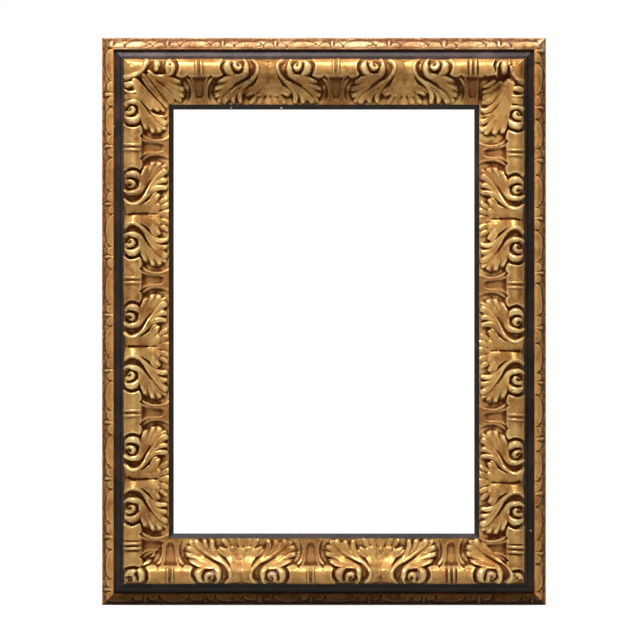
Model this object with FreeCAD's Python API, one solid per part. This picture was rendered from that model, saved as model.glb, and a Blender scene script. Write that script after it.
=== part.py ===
"""An ornate carved and gilded picture frame with an open sight.

A flat back frame of four half-lapped, pegged boards carries four rings of mitred mouldings: an outer
moulding that falls away to the edge, a dark frieze with a raised fillet, a carved moulding (a round roll
with collars, and a hollow leaf bed that slopes down to the sight) and a dark sight slip that forms the
rebate. On the back are two strap hangers with swinging rings and six turn buttons that hold a picture in.

Frame: +Z up, the front faces -Y, and the origin is the centre of the back plane. Millimetres.
A moulding's section is drawn in two coordinates: "inward" runs from the outer edge of the rail towards
the sight, and "forward" from the back plane towards the front.
"""
import FreeCAD, Part
import math
import os

Vector = FreeCAD.Vector

# ---- the frame as a whole ----
sight_width = 500.0          # clear opening, seen from the front
sight_height = 705.0

# ---- widths of the mouldings, from the outer edge inwards ----
outer_moulding_width = 19.5
frieze_width = 17.5
roll_diameter = 30.0
leaf_bed_width = 44.0
slip_face_width = 8.0

# ---- back frame boards ----
board_thickness = 22.0
rebate_width = 10.0          # how far the board edge stands back from the sight
peg_diameter = 8.0
peg_spread = 46.0            # between the two pegs of a corner, along its diagonal

# ---- outer moulding, heights above the boards ----
outer_edge_height = 5.0
outer_crest_height = 17.0
outer_crest_flat = 2.5
outer_swell = 2.8            # how far the falling face bulges out

# ---- frieze, heights above the boards ----
frieze_low_height = 11.5     # beside the outer moulding
frieze_high_height = 15.0    # at the foot of the fillet
fillet_height = 19.5
fillet_width = 5.0
fillet_slope_width = 1.5

# ---- carved moulding, heights above the boards ----
roll_axis_height = 28.0
leaf_bed_top_height = 25.0   # beside the roll
leaf_bed_low_height = 10.5   # beside the sight slip
leaf_bed_hollow = 3.0        # how far the bed is hollowed under its chord

# ---- collars, each a pair of round beads about the roll ----
collar_bead_diameter = 4.6
collar_bead_proud = 2.0      # how far a bead stands out of the roll
collar_bead_pitch = 8.2
collar_clearance = 2.0       # kept free above the frieze fillet
collar_pitch = {"top": 227.0, "bottom": 233.0, "left": 220.0, "right": 219.0}
collar_start = {"top": 162.0, "bottom": 114.0, "left": 183.0, "right": 192.0}

# ---- sight slip, heights above the boards ----
slip_flange_thickness = 4.0
slip_flange_width = 12.0
slip_outer_height = 10.0
slip_inner_height = 6.0
slip_seat_step = 0.6         # how far the picture's seat stands forward of the boards

# ---- nails through the boards into the mouldings ----
nail_diameter = 2.8
nail_head_diameter = 8.0
nail_head_height = 1.4
carved_nail_bite = 16.0      # length inside the carved moulding
outer_nail_bite = 7.0        # length inside the outer moulding
outer_nail_inward = 12.0
nail_pitch = 190.0
nail_end_margin = 90.0

# ---- strap hangers ----
hanger_drop = 236.0          # hinge below the top edge
hanger_inward = 74.0         # centre line of the strap
strap_width = 14.0
strap_thickness = 1.2
strap_screw_gap = 2.7        # from the hanging ring to the first screw's head
strap_screw_pitch = 18.0
strap_end_margin = 7.0
strap_corner_radius = 5.0
ring_wire_diameter = 3.0
ring_fit_clearance = 0.08    # radial, wire in its eye
eye_wall = 1.1
eye_end_clearance = 0.5
ring_outer_width = 25.0
ring_corner_radius = 3.0     # of the wire's centre line
ring_leg_length = 3.0
ring_rest_gap = 0.3          # between the hanging ring and its strap

# ---- turn buttons ----
button_width = 12.0
button_reach = 21.0          # pivot to the tip of the long end
button_tail = 7.0            # pivot to the short end
button_thickness = 1.5
button_seat_gap = 0.2        # under the button
button_edge_distance = 12.0  # pivot back from the board's inner edge
button_hole_clearance = 0.08 # radial
button_head_gap = 0.1        # over the button
stile_button_spacing = 300.0

# ---- screws ----
screw_diameter = 3.8
screw_length = 15.0          # inside the board
screw_head_diameter = 7.6
screw_head_height = 2.0
screw_head_rounding = 0.8
screw_slot_width = 1.0
screw_slot_depth = 0.8

# ---- worked out from the sizes above ----
board_width = (outer_moulding_width + frieze_width + roll_diameter + leaf_bed_width
               + slip_face_width - rebate_width)
rail_width = board_width + rebate_width
frame_width = sight_width + 2 * rail_width
frame_height = sight_height + 2 * rail_width
roll_radius = roll_diameter / 2
roll_start = outer_moulding_width + frieze_width
roll_inward = roll_start + roll_radius
leaf_bed_start = roll_start + roll_diameter
leaf_bed_end = leaf_bed_start + leaf_bed_width
eye_inner_radius = ring_wire_diameter / 2 + ring_fit_clearance
eye_outer_radius = eye_inner_radius + eye_wall
hinge_back = eye_outer_radius            # hinge axis behind the back plane
ring_half_width = (ring_outer_width - ring_wire_diameter) / 2
ring_reach = ring_corner_radius + ring_leg_length + ring_half_width      # hinge to the wire's far centre line
first_strap_screw = ring_reach + ring_wire_diameter / 2 + strap_screw_gap + screw_head_diameter / 2
last_strap_screw = first_strap_screw + strap_screw_pitch
strap_length = last_strap_screw + strap_end_margin                       # below the hinge

overshoot = 1.0              # how far a cutter runs past the face it cuts
tolerance = 1e-6             # for picking edges by their place

TURN = {"bottom": 0, "left": 90, "top": 180, "right": -90}   # about +Y, from the bottom rail's place
STILES = ("left", "right")


def rail_length(side):
    """Outer length of the rail on one side of the frame."""
    return frame_height if side in STILES else frame_width


def rail_offset(side):
    """Distance from the frame's centre to the outer edge of that side."""
    return (frame_width if side in STILES else frame_height) / 2


def placed(shape, side):
    """Turn a shape made in the bottom rail's place round to its own side."""
    turned = shape.copy()
    turned.rotate(Vector(0, 0, 0), Vector(0, 1, 0), TURN[side])
    return turned


def along(side, distance):
    """Local X of a point, from its distance along the rail: from the left end or from the top end."""
    direction = 1 if side in ("bottom", "left") else -1
    return direction * (distance - rail_length(side) / 2)


class Outline:
    """A closed section of a moulding, drawn in inward and forward coordinates."""

    def __init__(self, inward, forward):
        self.first = self.last = (inward, forward)
        self.edges = []

    @staticmethod
    def point(place):
        return Vector(0, -place[1], place[0])

    def line(self, inward, forward):
        """Add a straight edge."""
        end = (inward, forward)
        self.edges.append(Part.LineSegment(self.point(self.last), self.point(end)).toShape())
        self.last = end
        return self

    def arc(self, inward, forward, swell):
        """Add an arc that bulges forward of its chord by swell, or back of it if swell is negative."""
        (start_in, start_fwd), end = self.last, (inward, forward)
        run, rise = inward - start_in, forward - start_fwd
        chord = math.hypot(run, rise)
        side = math.copysign(1.0, run)
        middle = ((start_in + inward) / 2 - side * swell * rise / chord,
                  (start_fwd + forward) / 2 + side * swell * run / chord)
        self.edges.append(Part.Arc(self.point(self.last), self.point(middle), self.point(end)).toShape())
        self.last = end
        return self

    def face(self):
        """Close the outline and make it a face."""
        self.line(*self.first)
        return Part.Face(Part.Wire(self.edges))


def mitred(section, side):
    """Run a section along one side of the frame and cut both ends to the mitre."""
    length, offset = rail_length(side), rail_offset(side)
    depth = 4 * (board_thickness + roll_axis_height + roll_diameter)
    run = section.copy()
    run.translate(Vector(-length / 2, 0, -offset))
    run = run.extrude(Vector(length, 0, 0))
    corners = [Vector(-length / 2, depth / 2, -offset),
               Vector(length / 2, depth / 2, -offset),
               Vector(length / 2 - rail_width, depth / 2, rail_width - offset),
               Vector(rail_width - length / 2, depth / 2, rail_width - offset)]
    wedge = Part.Face(Part.makePolygon(corners + corners[:1])).extrude(Vector(0, -depth, 0))
    return run.common(wedge).removeSplitter()


def outer_moulding_section():
    """Section of the moulding that falls away to the frame's outer edge."""
    base = board_thickness
    crest = base + outer_crest_height
    return (Outline(outer_moulding_width, base)
            .line(outer_moulding_width, crest)
            .line(outer_moulding_width - outer_crest_flat, crest)
            .arc(0, base + outer_edge_height, outer_swell)
            .line(0, base)
            .face())


def frieze_section():
    """Section of the dark frieze, with the raised fillet beside the carved moulding."""
    base = board_thickness
    start, end = outer_moulding_width, roll_start
    fillet = end - fillet_width
    return (Outline(start, base)
            .line(start, base + frieze_low_height)
            .line(fillet - fillet_slope_width, base + frieze_high_height)
            .line(fillet, base + fillet_height)
            .line(end, base + fillet_height)
            .line(end, base)
            .face())


def carved_section():
    """Section of the carved moulding: the roll, the hollow leaf bed, and the step over the slip's flange."""
    base = board_thickness
    return (Outline(roll_start, base)
            .line(roll_start, base + roll_axis_height)
            .arc(leaf_bed_start, base + roll_axis_height, roll_radius)
            .line(leaf_bed_start, base + leaf_bed_top_height)
            .arc(leaf_bed_end, base + leaf_bed_low_height, -leaf_bed_hollow)
            .line(leaf_bed_end, base + slip_flange_thickness)
            .line(leaf_bed_end - slip_flange_width, base + slip_flange_thickness)
            .line(leaf_bed_end - slip_flange_width, base)
            .face())


def slip_section():
    """Section of the sight slip: a bevelled lip that seats the picture, on a flange under the carving."""
    base = board_thickness
    return (Outline(leaf_bed_end - slip_flange_width, base)
            .line(leaf_bed_end - slip_flange_width, base + slip_flange_thickness)
            .line(leaf_bed_end, base + slip_flange_thickness)
            .line(leaf_bed_end, base + slip_outer_height)
            .line(rail_width, base + slip_inner_height)
            .line(rail_width, base + slip_seat_step)
            .line(board_width, base + slip_seat_step)
            .line(board_width, base)
            .face())


def collar_places(side):
    """Local X of each collar on one side, as many as stand clear of the two mitres."""
    reach = roll_start + roll_diameter + collar_bead_pitch
    places = []
    distance = collar_start[side]
    while distance < rail_length(side) - reach:
        if distance > reach:
            places.append(along(side, distance))
        distance += collar_pitch[side]
    return places


def collar(x, offset):
    """Two beads about the roll at local X, cut off above the frieze's fillet."""
    axis_at = Vector(0, -board_thickness - roll_axis_height, roll_inward - offset)
    bead_radius = collar_bead_diameter / 2
    ring_radius = roll_radius + collar_bead_proud - bead_radius
    low = board_thickness + fillet_height + collar_clearance
    keep = Part.makeBox(4 * collar_bead_pitch, 2 * roll_diameter, 2 * roll_diameter,
                        Vector(x - 2 * collar_bead_pitch, -low - 2 * roll_diameter,
                               axis_at.z - roll_diameter))
    beads = []
    for step in (-0.5, 0.5):
        centre = axis_at + Vector(x + step * collar_bead_pitch, 0, 0)
        beads.append(Part.makeTorus(ring_radius, bead_radius, centre, Vector(1, 0, 0)).common(keep))
    return beads


def carved_moulding(side):
    """The roll and leaf bed of one side, with its collars, before the nail holes."""
    body = mitred(carved_section(), side)
    for x in collar_places(side):
        body = body.fuse(collar(x, rail_offset(side)))
    return body


def board(side):
    """One board of the back frame, halved at both ends: stiles keep the rear half, rails the front half."""
    length, offset = rail_length(side), rail_offset(side)
    half = board_thickness / 2
    plank = Part.makeBox(length, board_thickness, board_width,
                         Vector(-length / 2, -board_thickness, -offset))
    cut_from = -board_thickness if side in STILES else -half
    for x in (-length / 2, length / 2 - board_width):
        plank = plank.cut(Part.makeBox(board_width, half, board_width, Vector(x, cut_from, -offset)))
    return plank


def rod(diameter, start, end):
    """A round rod between two points."""
    return Part.makeCylinder(diameter / 2, (end - start).Length, start, end - start)


def corner_pegs():
    """Two pegs through each half-lap, on the corner's diagonal."""
    pegs = []
    step = peg_spread / 2 / math.sqrt(2)
    for right in (-1, 1):
        for up in (-1, 1):
            for k in (-1, 1):
                x = right * (frame_width / 2 - board_width / 2 + k * step)
                z = up * (frame_height / 2 - board_width / 2 + k * step)
                pegs.append(rod(peg_diameter, Vector(x, -board_thickness, z), Vector(x, 0, z)))
    return pegs


def nail_places(side):
    """Distances of the nails along one side, evenly spaced between its end margins."""
    free = rail_length(side) - 2 * nail_end_margin
    gaps = max(1, round(free / nail_pitch))
    return [nail_end_margin + free * k / gaps for k in range(gaps + 1)]


def nails(inward, bite):
    """One line of nails round the frame: a low head on the back face and a shank into the moulding."""
    made = []
    for side in TURN:
        for distance in nail_places(side):
            x, z = along(side, distance), inward - rail_offset(side)
            shank = rod(nail_diameter, Vector(x, 0, z), Vector(x, -board_thickness - bite, z))
            head = Part.makeCone(nail_head_diameter / 2, nail_diameter / 2, nail_head_height,
                                 Vector(x, 0, z), Vector(0, 1, 0))
            made.append(placed(shank.fuse(head).removeSplitter(), side))
    return made


def screw(x, z, seat):
    """A slotted screw whose head sits at seat behind the back plane, with its shank in the board."""
    head = Part.makeCylinder(screw_head_diameter / 2, screw_head_height, Vector(x, seat, z), Vector(0, 1, 0))
    rim = [e for e in head.Edges if abs(e.CenterOfMass.y - seat - screw_head_height) < tolerance]
    head = head.makeFillet(screw_head_rounding, rim)
    slot = Part.makeBox(screw_head_diameter, screw_slot_depth, screw_slot_width,
                        Vector(x - screw_head_diameter / 2, seat + screw_head_height - screw_slot_depth,
                               z - screw_slot_width / 2))
    shank = rod(screw_diameter, Vector(x, seat, z), Vector(x, -screw_length, z))
    return head.cut(slot).fuse(shank).removeSplitter()


def hanger_centre(side):
    """X and Z of a hanger's hinge."""
    x = rail_offset(side) - hanger_inward
    return (-x if side == "left" else x), frame_height / 2 - hanger_drop


def hanger_plate(side):
    """A strap with two screw holes, whose top end is rolled into the eye that holds the ring."""
    x, z = hanger_centre(side)
    strap = Part.makeBox(strap_width, strap_thickness, strap_length,
                         Vector(x - strap_width / 2, 0, z - strap_length))
    ends = [e for e in strap.Edges
            if max(e.BoundBox.ZLength, e.BoundBox.XLength) < tolerance
            and e.CenterOfMass.z < z - strap_length + tolerance]
    strap = strap.makeFillet(strap_corner_radius, ends)
    eye_length = strap_width - 2 * eye_end_clearance
    eye_from = Vector(x - eye_length / 2, hinge_back, z)
    strap = strap.fuse(rod(2 * eye_outer_radius, eye_from, eye_from + Vector(eye_length, 0, 0)))
    bore_from = Vector(x - strap_width, hinge_back, z)
    strap = strap.cut(rod(2 * eye_inner_radius, bore_from, bore_from + Vector(2 * strap_width, 0, 0)))
    for below in (first_strap_screw, last_strap_screw):
        strap = strap.cut(rod(screw_diameter, Vector(x, -overshoot, z - below),
                              Vector(x, strap_thickness + overshoot, z - below)))
    return strap.removeSplitter()


def ring_rest_tilt():
    """Angle in degrees that a hanging ring leans out, so that it lies on its strap with the rest gap."""
    lift = strap_thickness + ring_rest_gap + ring_wire_diameter / 2 - hinge_back
    return math.degrees(math.asin(max(0.0, lift / ring_reach)))


def hanger_ring(side):
    """A D-shaped ring whose straight bar turns in the eye, hanging down over its strap."""
    x, z = hanger_centre(side)
    half, corner = ring_half_width, ring_corner_radius
    legs_end = corner + ring_leg_length
    slant = corner * (1 - math.sqrt(0.5))

    def at(across, down):
        return Vector(x + across, hinge_back, z - down)

    path = [Part.LineSegment(at(corner - half, 0), at(half - corner, 0)),
            Part.Arc(at(half - corner, 0), at(half - slant, slant), at(half, corner)),
            Part.LineSegment(at(half, corner), at(half, legs_end)),
            Part.Arc(at(half, legs_end), at(0, legs_end + half), at(-half, legs_end)),
            Part.LineSegment(at(-half, legs_end), at(-half, corner)),
            Part.Arc(at(-half, corner), at(slant - half, slant), at(corner - half, 0))]
    spine = Part.Wire([piece.toShape() for piece in path])
    circle = Part.Circle(at(corner - half, 0), Vector(1, 0, 0), ring_wire_diameter / 2)
    ring = spine.makePipeShell([Part.Wire(circle.toShape())], True, False)
    ring.rotate(at(0, 0), Vector(1, 0, 0), ring_rest_tilt())
    return ring


def button_pivots():
    """Name, X, Z and the turn of the long end from straight down, for each turn button."""
    x = sight_width / 2 + rebate_width + button_edge_distance
    z = sight_height / 2 + rebate_width + button_edge_distance
    up = stile_button_spacing / 2
    return [("upper_left", -x, up, 0), ("lower_left", -x, -up, 0),
            ("upper_right", x, up, 0), ("lower_right", x, -up, 0),
            ("top", 0, z, 90), ("bottom", 0, -z, 90)]


def turn_button(x, z, turn):
    """A flat button with round ends, drilled for its screw, lying along its board."""
    radius = button_width / 2
    reach, tail = button_reach - radius, button_tail - radius
    low = Vector(x, button_seat_gap, z)
    plate = Part.makeBox(button_width, button_thickness, reach + tail, low + Vector(-radius, 0, -reach))
    for end in (low + Vector(0, 0, tail), low + Vector(0, 0, -reach)):
        plate = plate.fuse(Part.makeCylinder(radius, button_thickness, end, Vector(0, 1, 0)))
    plate = plate.removeSplitter()
    hole = screw_diameter + 2 * button_hole_clearance
    plate = plate.cut(rod(hole, Vector(x, -overshoot, z),
                          Vector(x, button_seat_gap + button_thickness + overshoot, z)))
    plate.rotate(Vector(x, 0, z), Vector(0, 1, 0), turn)
    return plate


def button_screws():
    """The six screws that the turn buttons turn on."""
    seat = button_seat_gap + button_thickness + button_head_gap
    return [screw(x, z, seat) for _, x, z, _ in button_pivots()]


def hanger_screws():
    """The screws that hold the two straps."""
    return [screw(hanger_centre(side)[0], hanger_centre(side)[1] - below, strap_thickness)
            for side in STILES for below in (first_strap_screw, last_strap_screw)]


def drilled(shape, fasteners):
    """Cut the fasteners that reach into a shape out of it, so that each one sits in its own hole."""
    box = shape.BoundBox
    inside = [f for f in fasteners if box.intersect(f.BoundBox)]
    return shape.cut(inside) if inside else shape


def build():
    """Make every piece and return them by node name, each as a list of solids."""
    pegs = corner_pegs()
    carved_nails = nails(roll_inward, carved_nail_bite)
    outer_nails = nails(outer_nail_inward, outer_nail_bite)
    screws = button_screws() + hanger_screws()
    pieces = {"corner_pegs": pegs,
              "carved_moulding_nails": carved_nails,
              "outer_moulding_nails": outer_nails,
              "turn_button_screws": button_screws(),
              "hanger_screws": hanger_screws()}
    for side in TURN:
        kind = "stile" if side in STILES else "rail"
        plank = drilled(placed(board(side), side), pegs + carved_nails + outer_nails + screws)
        pieces[f"back_{kind}_{side}"] = [plank]
        outer = placed(mitred(outer_moulding_section(), side), side)
        pieces[f"outer_moulding_{side}"] = [drilled(outer, outer_nails)]
        pieces[f"frieze_{side}"] = [placed(mitred(frieze_section(), side), side)]
        pieces[f"carved_moulding_{side}"] = [drilled(placed(carved_moulding(side), side), carved_nails)]
        pieces[f"sight_slip_{side}"] = [placed(mitred(slip_section(), side), side)]
    for side in STILES:
        pieces[f"hanger_plate_{side}"] = [hanger_plate(side)]
        pieces[f"hanger_ring_{side}"] = [hanger_ring(side)]
    for name, x, z, turn in button_pivots():
        pieces[f"turn_button_{name}"] = [turn_button(x, z, turn)]
    return pieces


def export(pieces):
    """Write one STEP file per node."""
    os.makedirs("parts", exist_ok=True)
    for name, shapes in pieces.items():
        solids = [solid for shape in shapes for solid in shape.Solids]
        for solid in solids:
            if not solid.isValid() or solid.Volume <= 0:
                raise ValueError(f"{name} has a faulty solid")
        shape = solids[0] if len(solids) == 1 else Part.makeCompound(solids)
        shape.exportStep(f"parts/{name}.step")
        print(f"{name}: {len(solids)} solid(s), {shape.Volume / 1000:.1f} cm3")


if __name__ == "__main__":
    export(build())
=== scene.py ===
"""The visible model of an ornate carved and gilded picture frame.

The carved moulding and the outer moulding are cut here in relief, as meshes that stand for their plain
solids. The flat pieces (frieze, sight slip, boards, nails, hangers and turn buttons) keep their solids
and are dressed. The scene is in metres, and the carving is worked out in millimetres. +Z is up, and the
front looks to -Y.
"""

from dataclasses import dataclass, field
from enum import Enum
import logging
import math
from typing import ClassVar

import bpy
import numpy as np
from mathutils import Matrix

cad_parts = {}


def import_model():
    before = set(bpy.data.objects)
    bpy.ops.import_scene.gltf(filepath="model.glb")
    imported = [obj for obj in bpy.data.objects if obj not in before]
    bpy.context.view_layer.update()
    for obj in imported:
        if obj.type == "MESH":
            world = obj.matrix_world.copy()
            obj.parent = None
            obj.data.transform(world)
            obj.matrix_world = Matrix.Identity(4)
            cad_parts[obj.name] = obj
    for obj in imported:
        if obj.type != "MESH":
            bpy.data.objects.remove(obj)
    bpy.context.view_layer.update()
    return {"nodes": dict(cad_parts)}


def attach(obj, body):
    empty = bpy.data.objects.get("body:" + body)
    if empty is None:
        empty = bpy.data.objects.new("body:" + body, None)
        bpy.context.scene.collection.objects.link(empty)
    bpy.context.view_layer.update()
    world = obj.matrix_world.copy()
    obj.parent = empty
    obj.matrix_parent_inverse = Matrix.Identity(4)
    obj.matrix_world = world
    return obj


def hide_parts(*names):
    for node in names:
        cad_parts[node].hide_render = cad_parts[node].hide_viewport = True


log = logging.getLogger("frame")

Array = np.ndarray
Socket = bpy.types.NodeSocket
Colour = tuple[float, float, float]             # as the eye names it, 0 to 255
Value = Socket | Colour | float
Spot = tuple[float, float, float]               # x and z on the front, and how far it reaches, in mm
Bow = tuple[float, float, float]                # middle, half length and depth, in mm
Path = tuple[tuple[float, float, float, float], ...]
Profile = tuple[tuple[float, float], ...]

MM = 0.001

# The plain frame, in mm. Inward is from the frame's outer edge, forward is from the back plane, and a
# height is over the boards.
FRAME_WIDTH = 738.0
FRAME_HEIGHT = 943.0
BOARD = 22.0            # thickness of the boards
EDGE = 19.5             # width of the outer moulding
EDGE_CREST = 17.0       # width of its slope, and height of its top
EDGE_LOW = 5.0          # height at its outer edge
EDGE_SWELL = 2.296      # how far the slope bulges
FILLET = 19.6           # height of the frieze's fillet
CARVING_START = 37.0    # inward
ROLL = 30.0             # width of the roll
ROLL_RADIUS = ROLL / 2
ROLL_AXIS = 28.0        # height
BED = 44.0              # width of the leaf bed
BED_TOP = 25.0          # height beside the roll
BED_LOW = 10.5          # height beside the sight slip
BED_HOLLOW = 3.0        # how far the bed is hollowed under its chord
CARVING = ROLL + BED    # width of both
FLANGE = 12.0           # width of the slip's flange, under the leaf bed
FLANGE_HEIGHT = 4.0


def eased(value: Array, low: Array | float, high: Array | float) -> Array:
    """Step smoothly from 0 at low to 1 at high."""
    share = np.clip((value - low) / (high - low), 0.0, 1.0)
    return share * share * (3.0 - 2.0 * share)


def bell(distance: Array, reach: float) -> Array:
    """Fall from 1 at no distance to near 0 at twice the reach."""
    return np.exp(-(distance / reach) ** 2)


def between(table: Array, i: Array, j: Array, p: Array, q: Array) -> Array:
    """Read a table between its cells: a share p on from row i, and a share q on from column j."""
    return ((table[i, j] * (1 - p) + table[i + 1, j] * p) * (1 - q)
            + (table[i, j + 1] * (1 - p) + table[i + 1, j + 1] * p) * q)


def spline(points: Array, spacing: float) -> Array:
    """Run a smooth curve through control points.

    Args:
        points: one row per control point, place first and then the values that go with it.
        spacing: distance between the rows of the result, in mm.

    Returns:
        Rows along the curve, in the columns of points.
    """
    padded = np.vstack([2 * points[0] - points[1], points, 2 * points[-1] - points[-2]])
    rows = []
    for before, start, end, after in zip(padded[:-3], padded[1:-2], padded[2:-1], padded[3:]):
        count = max(2, int(math.hypot(*(end - start)[:2]) / spacing) + 1)
        t = np.linspace(0.0, 1.0, count, endpoint=False)[:, None]
        square, cube = 2 * before - 5 * start + 4 * end - after, 3 * start - before - 3 * end + after
        rows.append(0.5 * (2 * start + (end - before) * t + square * t ** 2 + cube * t ** 3))
    rows.append(points[-1:])
    return np.vstack(rows)


def softened(heights: Array, reach: float) -> Array:
    """Blur a field with a bell curve.

    Args:
        heights: the field.
        reach: how far the bell curve spreads, in cells.

    Returns:
        The blurred field, of the same shape.
    """
    half = max(1, int(3 * reach))
    weights = np.exp(-0.5 * (np.arange(-half, half + 1) / reach) ** 2)
    weights /= weights.sum()
    result = np.pad(heights, half, mode="edge")
    for axis in (0, 1):
        result = np.apply_along_axis(np.convolve, axis, result, weights, "valid")
    return result


def linear(colour: Colour) -> tuple[float, float, float, float]:
    """Turn a colour as the eye names it into the light that it stands for."""
    parts = [c / 255 for c in colour]
    return tuple(p / 12.92 if p <= 0.04045 else ((p + 0.055) / 1.055) ** 2.4 for p in parts) + (1.0,)


def new_piece(mesh: bpy.types.Mesh) -> bpy.types.Object:
    """Put a mesh in the scene, as a piece of the same name.

    Args:
        mesh: the finished mesh.

    Returns:
        The piece.
    """
    piece = bpy.data.objects.new(mesh.name, mesh)
    bpy.context.scene.collection.objects.link(piece)
    return piece


def keep_field(mesh: bpy.types.Mesh, name: str, values: Array) -> None:
    """Store one number per point of a mesh, for the finish to read."""
    layer = mesh.attributes.new(name, "FLOAT", "POINT")
    layer.data.foreach_set("value", np.ascontiguousarray(values, dtype=np.float32).reshape(-1))


class Finish:
    """A material under construction. Its methods add nodes and return the sockets that they give."""

    def __init__(self, name: str) -> None:
        """Start a material.

        Args:
            name: name of the material.
        """
        self.material = bpy.data.materials.new(name)
        self.material.use_nodes = True
        self.nodes = self.material.node_tree.nodes
        self.links = self.material.node_tree.links
        self.shader = self.nodes["Principled BSDF"]
        self.place = self.nodes.new("ShaderNodeTexCoord").outputs["Object"]

    def set(self, socket: Socket, value: Value) -> None:
        """Give a socket a value, or link another socket to it.

        Args:
            socket: an input.
            value: a number, a colour, or the output to link.
        """
        if isinstance(value, Socket):
            self.links.new(value, socket)
        elif isinstance(value, tuple) and len(value) == 3 and socket.type == "RGBA":
            socket.default_value = linear(value)
        else:
            socket.default_value = value

    def shade(self, name: str, value: Value) -> None:
        """Set one of the shader's own inputs."""
        self.set(self.shader.inputs[name], value)

    def attribute(self, name: str) -> Socket:
        """Read a number kept on the mesh.

        Args:
            name: name of the field.

        Returns:
            The number.
        """
        node = self.nodes.new("ShaderNodeAttribute")
        node.attribute_name = name
        return node.outputs["Fac"]

    def stretched(self, scale: tuple[float, float, float]) -> Socket:
        """Scale the places along each axis.

        Args:
            scale: factor along X, Y and Z.

        Returns:
            The scaled places.
        """
        node = self.nodes.new("ShaderNodeMapping")
        self.links.new(self.place, node.inputs["Vector"])
        node.inputs["Scale"].default_value = scale
        return node.outputs["Vector"]

    def noise(self, size: float, detail: float = 3.0, rough: float = 0.5,
              places: Socket | None = None) -> Socket:
        """Add cloudy noise.

        Args:
            size: size of its spots, in metres.
            detail: how many finer layers it has.
            rough: how strong these are.
            places: places to read it at, where these aren't the plain ones.

        Returns:
            The noise, about 0 to 1.
        """
        node = self.nodes.new("ShaderNodeTexNoise")
        self.links.new(places or self.place, node.inputs["Vector"])
        node.inputs["Scale"].default_value = 1 / size
        node.inputs["Detail"].default_value = detail
        node.inputs["Roughness"].default_value = rough
        return node.outputs["Fac"]

    def cracks(self, size: float) -> Socket:
        """Add a net of cracks.

        Args:
            size: size of its cells, in metres.

        Returns:
            The distance to the nearest crack, in cells.
        """
        node = self.nodes.new("ShaderNodeTexVoronoi")
        node.feature = "DISTANCE_TO_EDGE"
        self.links.new(self.place, node.inputs["Vector"])
        node.inputs["Scale"].default_value = 1 / size
        return node.outputs["Distance"]

    def spots(self, places: tuple[Spot, ...]) -> Socket:
        """Mask the surroundings of places on the front.

        Args:
            places: the middles of the spots, and how far each reaches.

        Returns:
            The mask, 1 in the middle of a spot.
        """
        level = self.stretched((1.0, 0.0, 1.0))
        mask = None
        for x, z, reach in places:
            node = self.nodes.new("ShaderNodeVectorMath")
            node.operation = "DISTANCE"
            self.links.new(level, node.inputs[0])
            node.inputs[1].default_value = (x * MM, 0.0, z * MM)
            near = self.ramp(node.outputs["Value"], 0.0, reach * MM, 1.0, 0.0)
            mask = near if mask is None else self.most(mask, near)
        return mask

    def rim(self) -> Socket:
        """Measure how far places lie in from the frame's outer edge, seen from the front.

        Returns:
            The distance in metres.
        """
        split = self.nodes.new("ShaderNodeSeparateXYZ")
        self.links.new(self.place, split.inputs[0])
        sides = [self.combine("SUBTRACT", whole / 2 * MM, self.combine("ABSOLUTE", split.outputs[axis], 0.0))
                 for whole, axis in ((FRAME_WIDTH, "X"), (FRAME_HEIGHT, "Z"))]
        return self.combine("MINIMUM", *sides)

    def combine(self, operation: str, first: Value, second: Value) -> Socket:
        """Work out a number from two others.

        Args:
            operation: name of the operation.
            first: its first number.
            second: its second number.

        Returns:
            The result.
        """
        node = self.nodes.new("ShaderNodeMath")
        node.operation = operation
        self.set(node.inputs[0], first)
        self.set(node.inputs[1], second)
        return node.outputs["Value"]

    def plus(self, first: Value, second: Value) -> Socket:
        """Add two numbers."""
        return self.combine("ADD", first, second)

    def times(self, first: Value, second: Value) -> Socket:
        """Multiply two numbers."""
        return self.combine("MULTIPLY", first, second)

    def most(self, first: Value, second: Value) -> Socket:
        """Take the larger of two numbers."""
        return self.combine("MAXIMUM", first, second)

    def ramp(self, value: Value, low: float, high: float, bottom: float = 0.0, top: float = 1.0) -> Socket:
        """Map a number from one range to another, smoothly and held at the ends.

        Args:
            value: the number.
            low: where the ramp starts.
            high: where it ends.
            bottom: the result at low and under it.
            top: the result at high and over it.

        Returns:
            The mapped number.
        """
        node = self.nodes.new("ShaderNodeMapRange")
        node.interpolation_type = "SMOOTHSTEP"
        self.set(node.inputs["Value"], value)
        for socket, number in (("From Min", low), ("From Max", high), ("To Min", bottom), ("To Max", top)):
            node.inputs[socket].default_value = number
        return node.outputs["Result"]

    def mix(self, share: Value, first: Value, second: Value) -> Socket:
        """Mix two colours.

        Args:
            share: how much of the second one there is.
            first: the first colour.
            second: the second colour.

        Returns:
            The mixed colour.
        """
        node = self.nodes.new("ShaderNodeMix")
        node.data_type = "RGBA"
        for socket, value in ((0, share), (6, first), (7, second)):     # the node's colour inputs are 6 and 7
            self.set(node.inputs[socket], value)
        return node.outputs[2]

    def bump(self, height: Value, strength: float, depth: float, below: Socket | None = None) -> Socket:
        """Add a fine relief.

        Args:
            height: the relief, 0 to 1.
            strength: how much of it shows.
            depth: its depth in metres.
            below: a coarser relief that it lies on.

        Returns:
            The bumped normal.
        """
        node = self.nodes.new("ShaderNodeBump")
        self.set(node.inputs["Height"], height)
        node.inputs["Strength"].default_value = strength
        node.inputs["Distance"].default_value = depth
        if below is not None:
            self.links.new(below, node.inputs["Normal"])
        return node.outputs["Normal"]

    def dress(self, piece: bpy.types.Object) -> None:
        """Give the material to a piece, in place of what it has."""
        piece.data.materials.clear()
        piece.data.materials.append(self.material)


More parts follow.
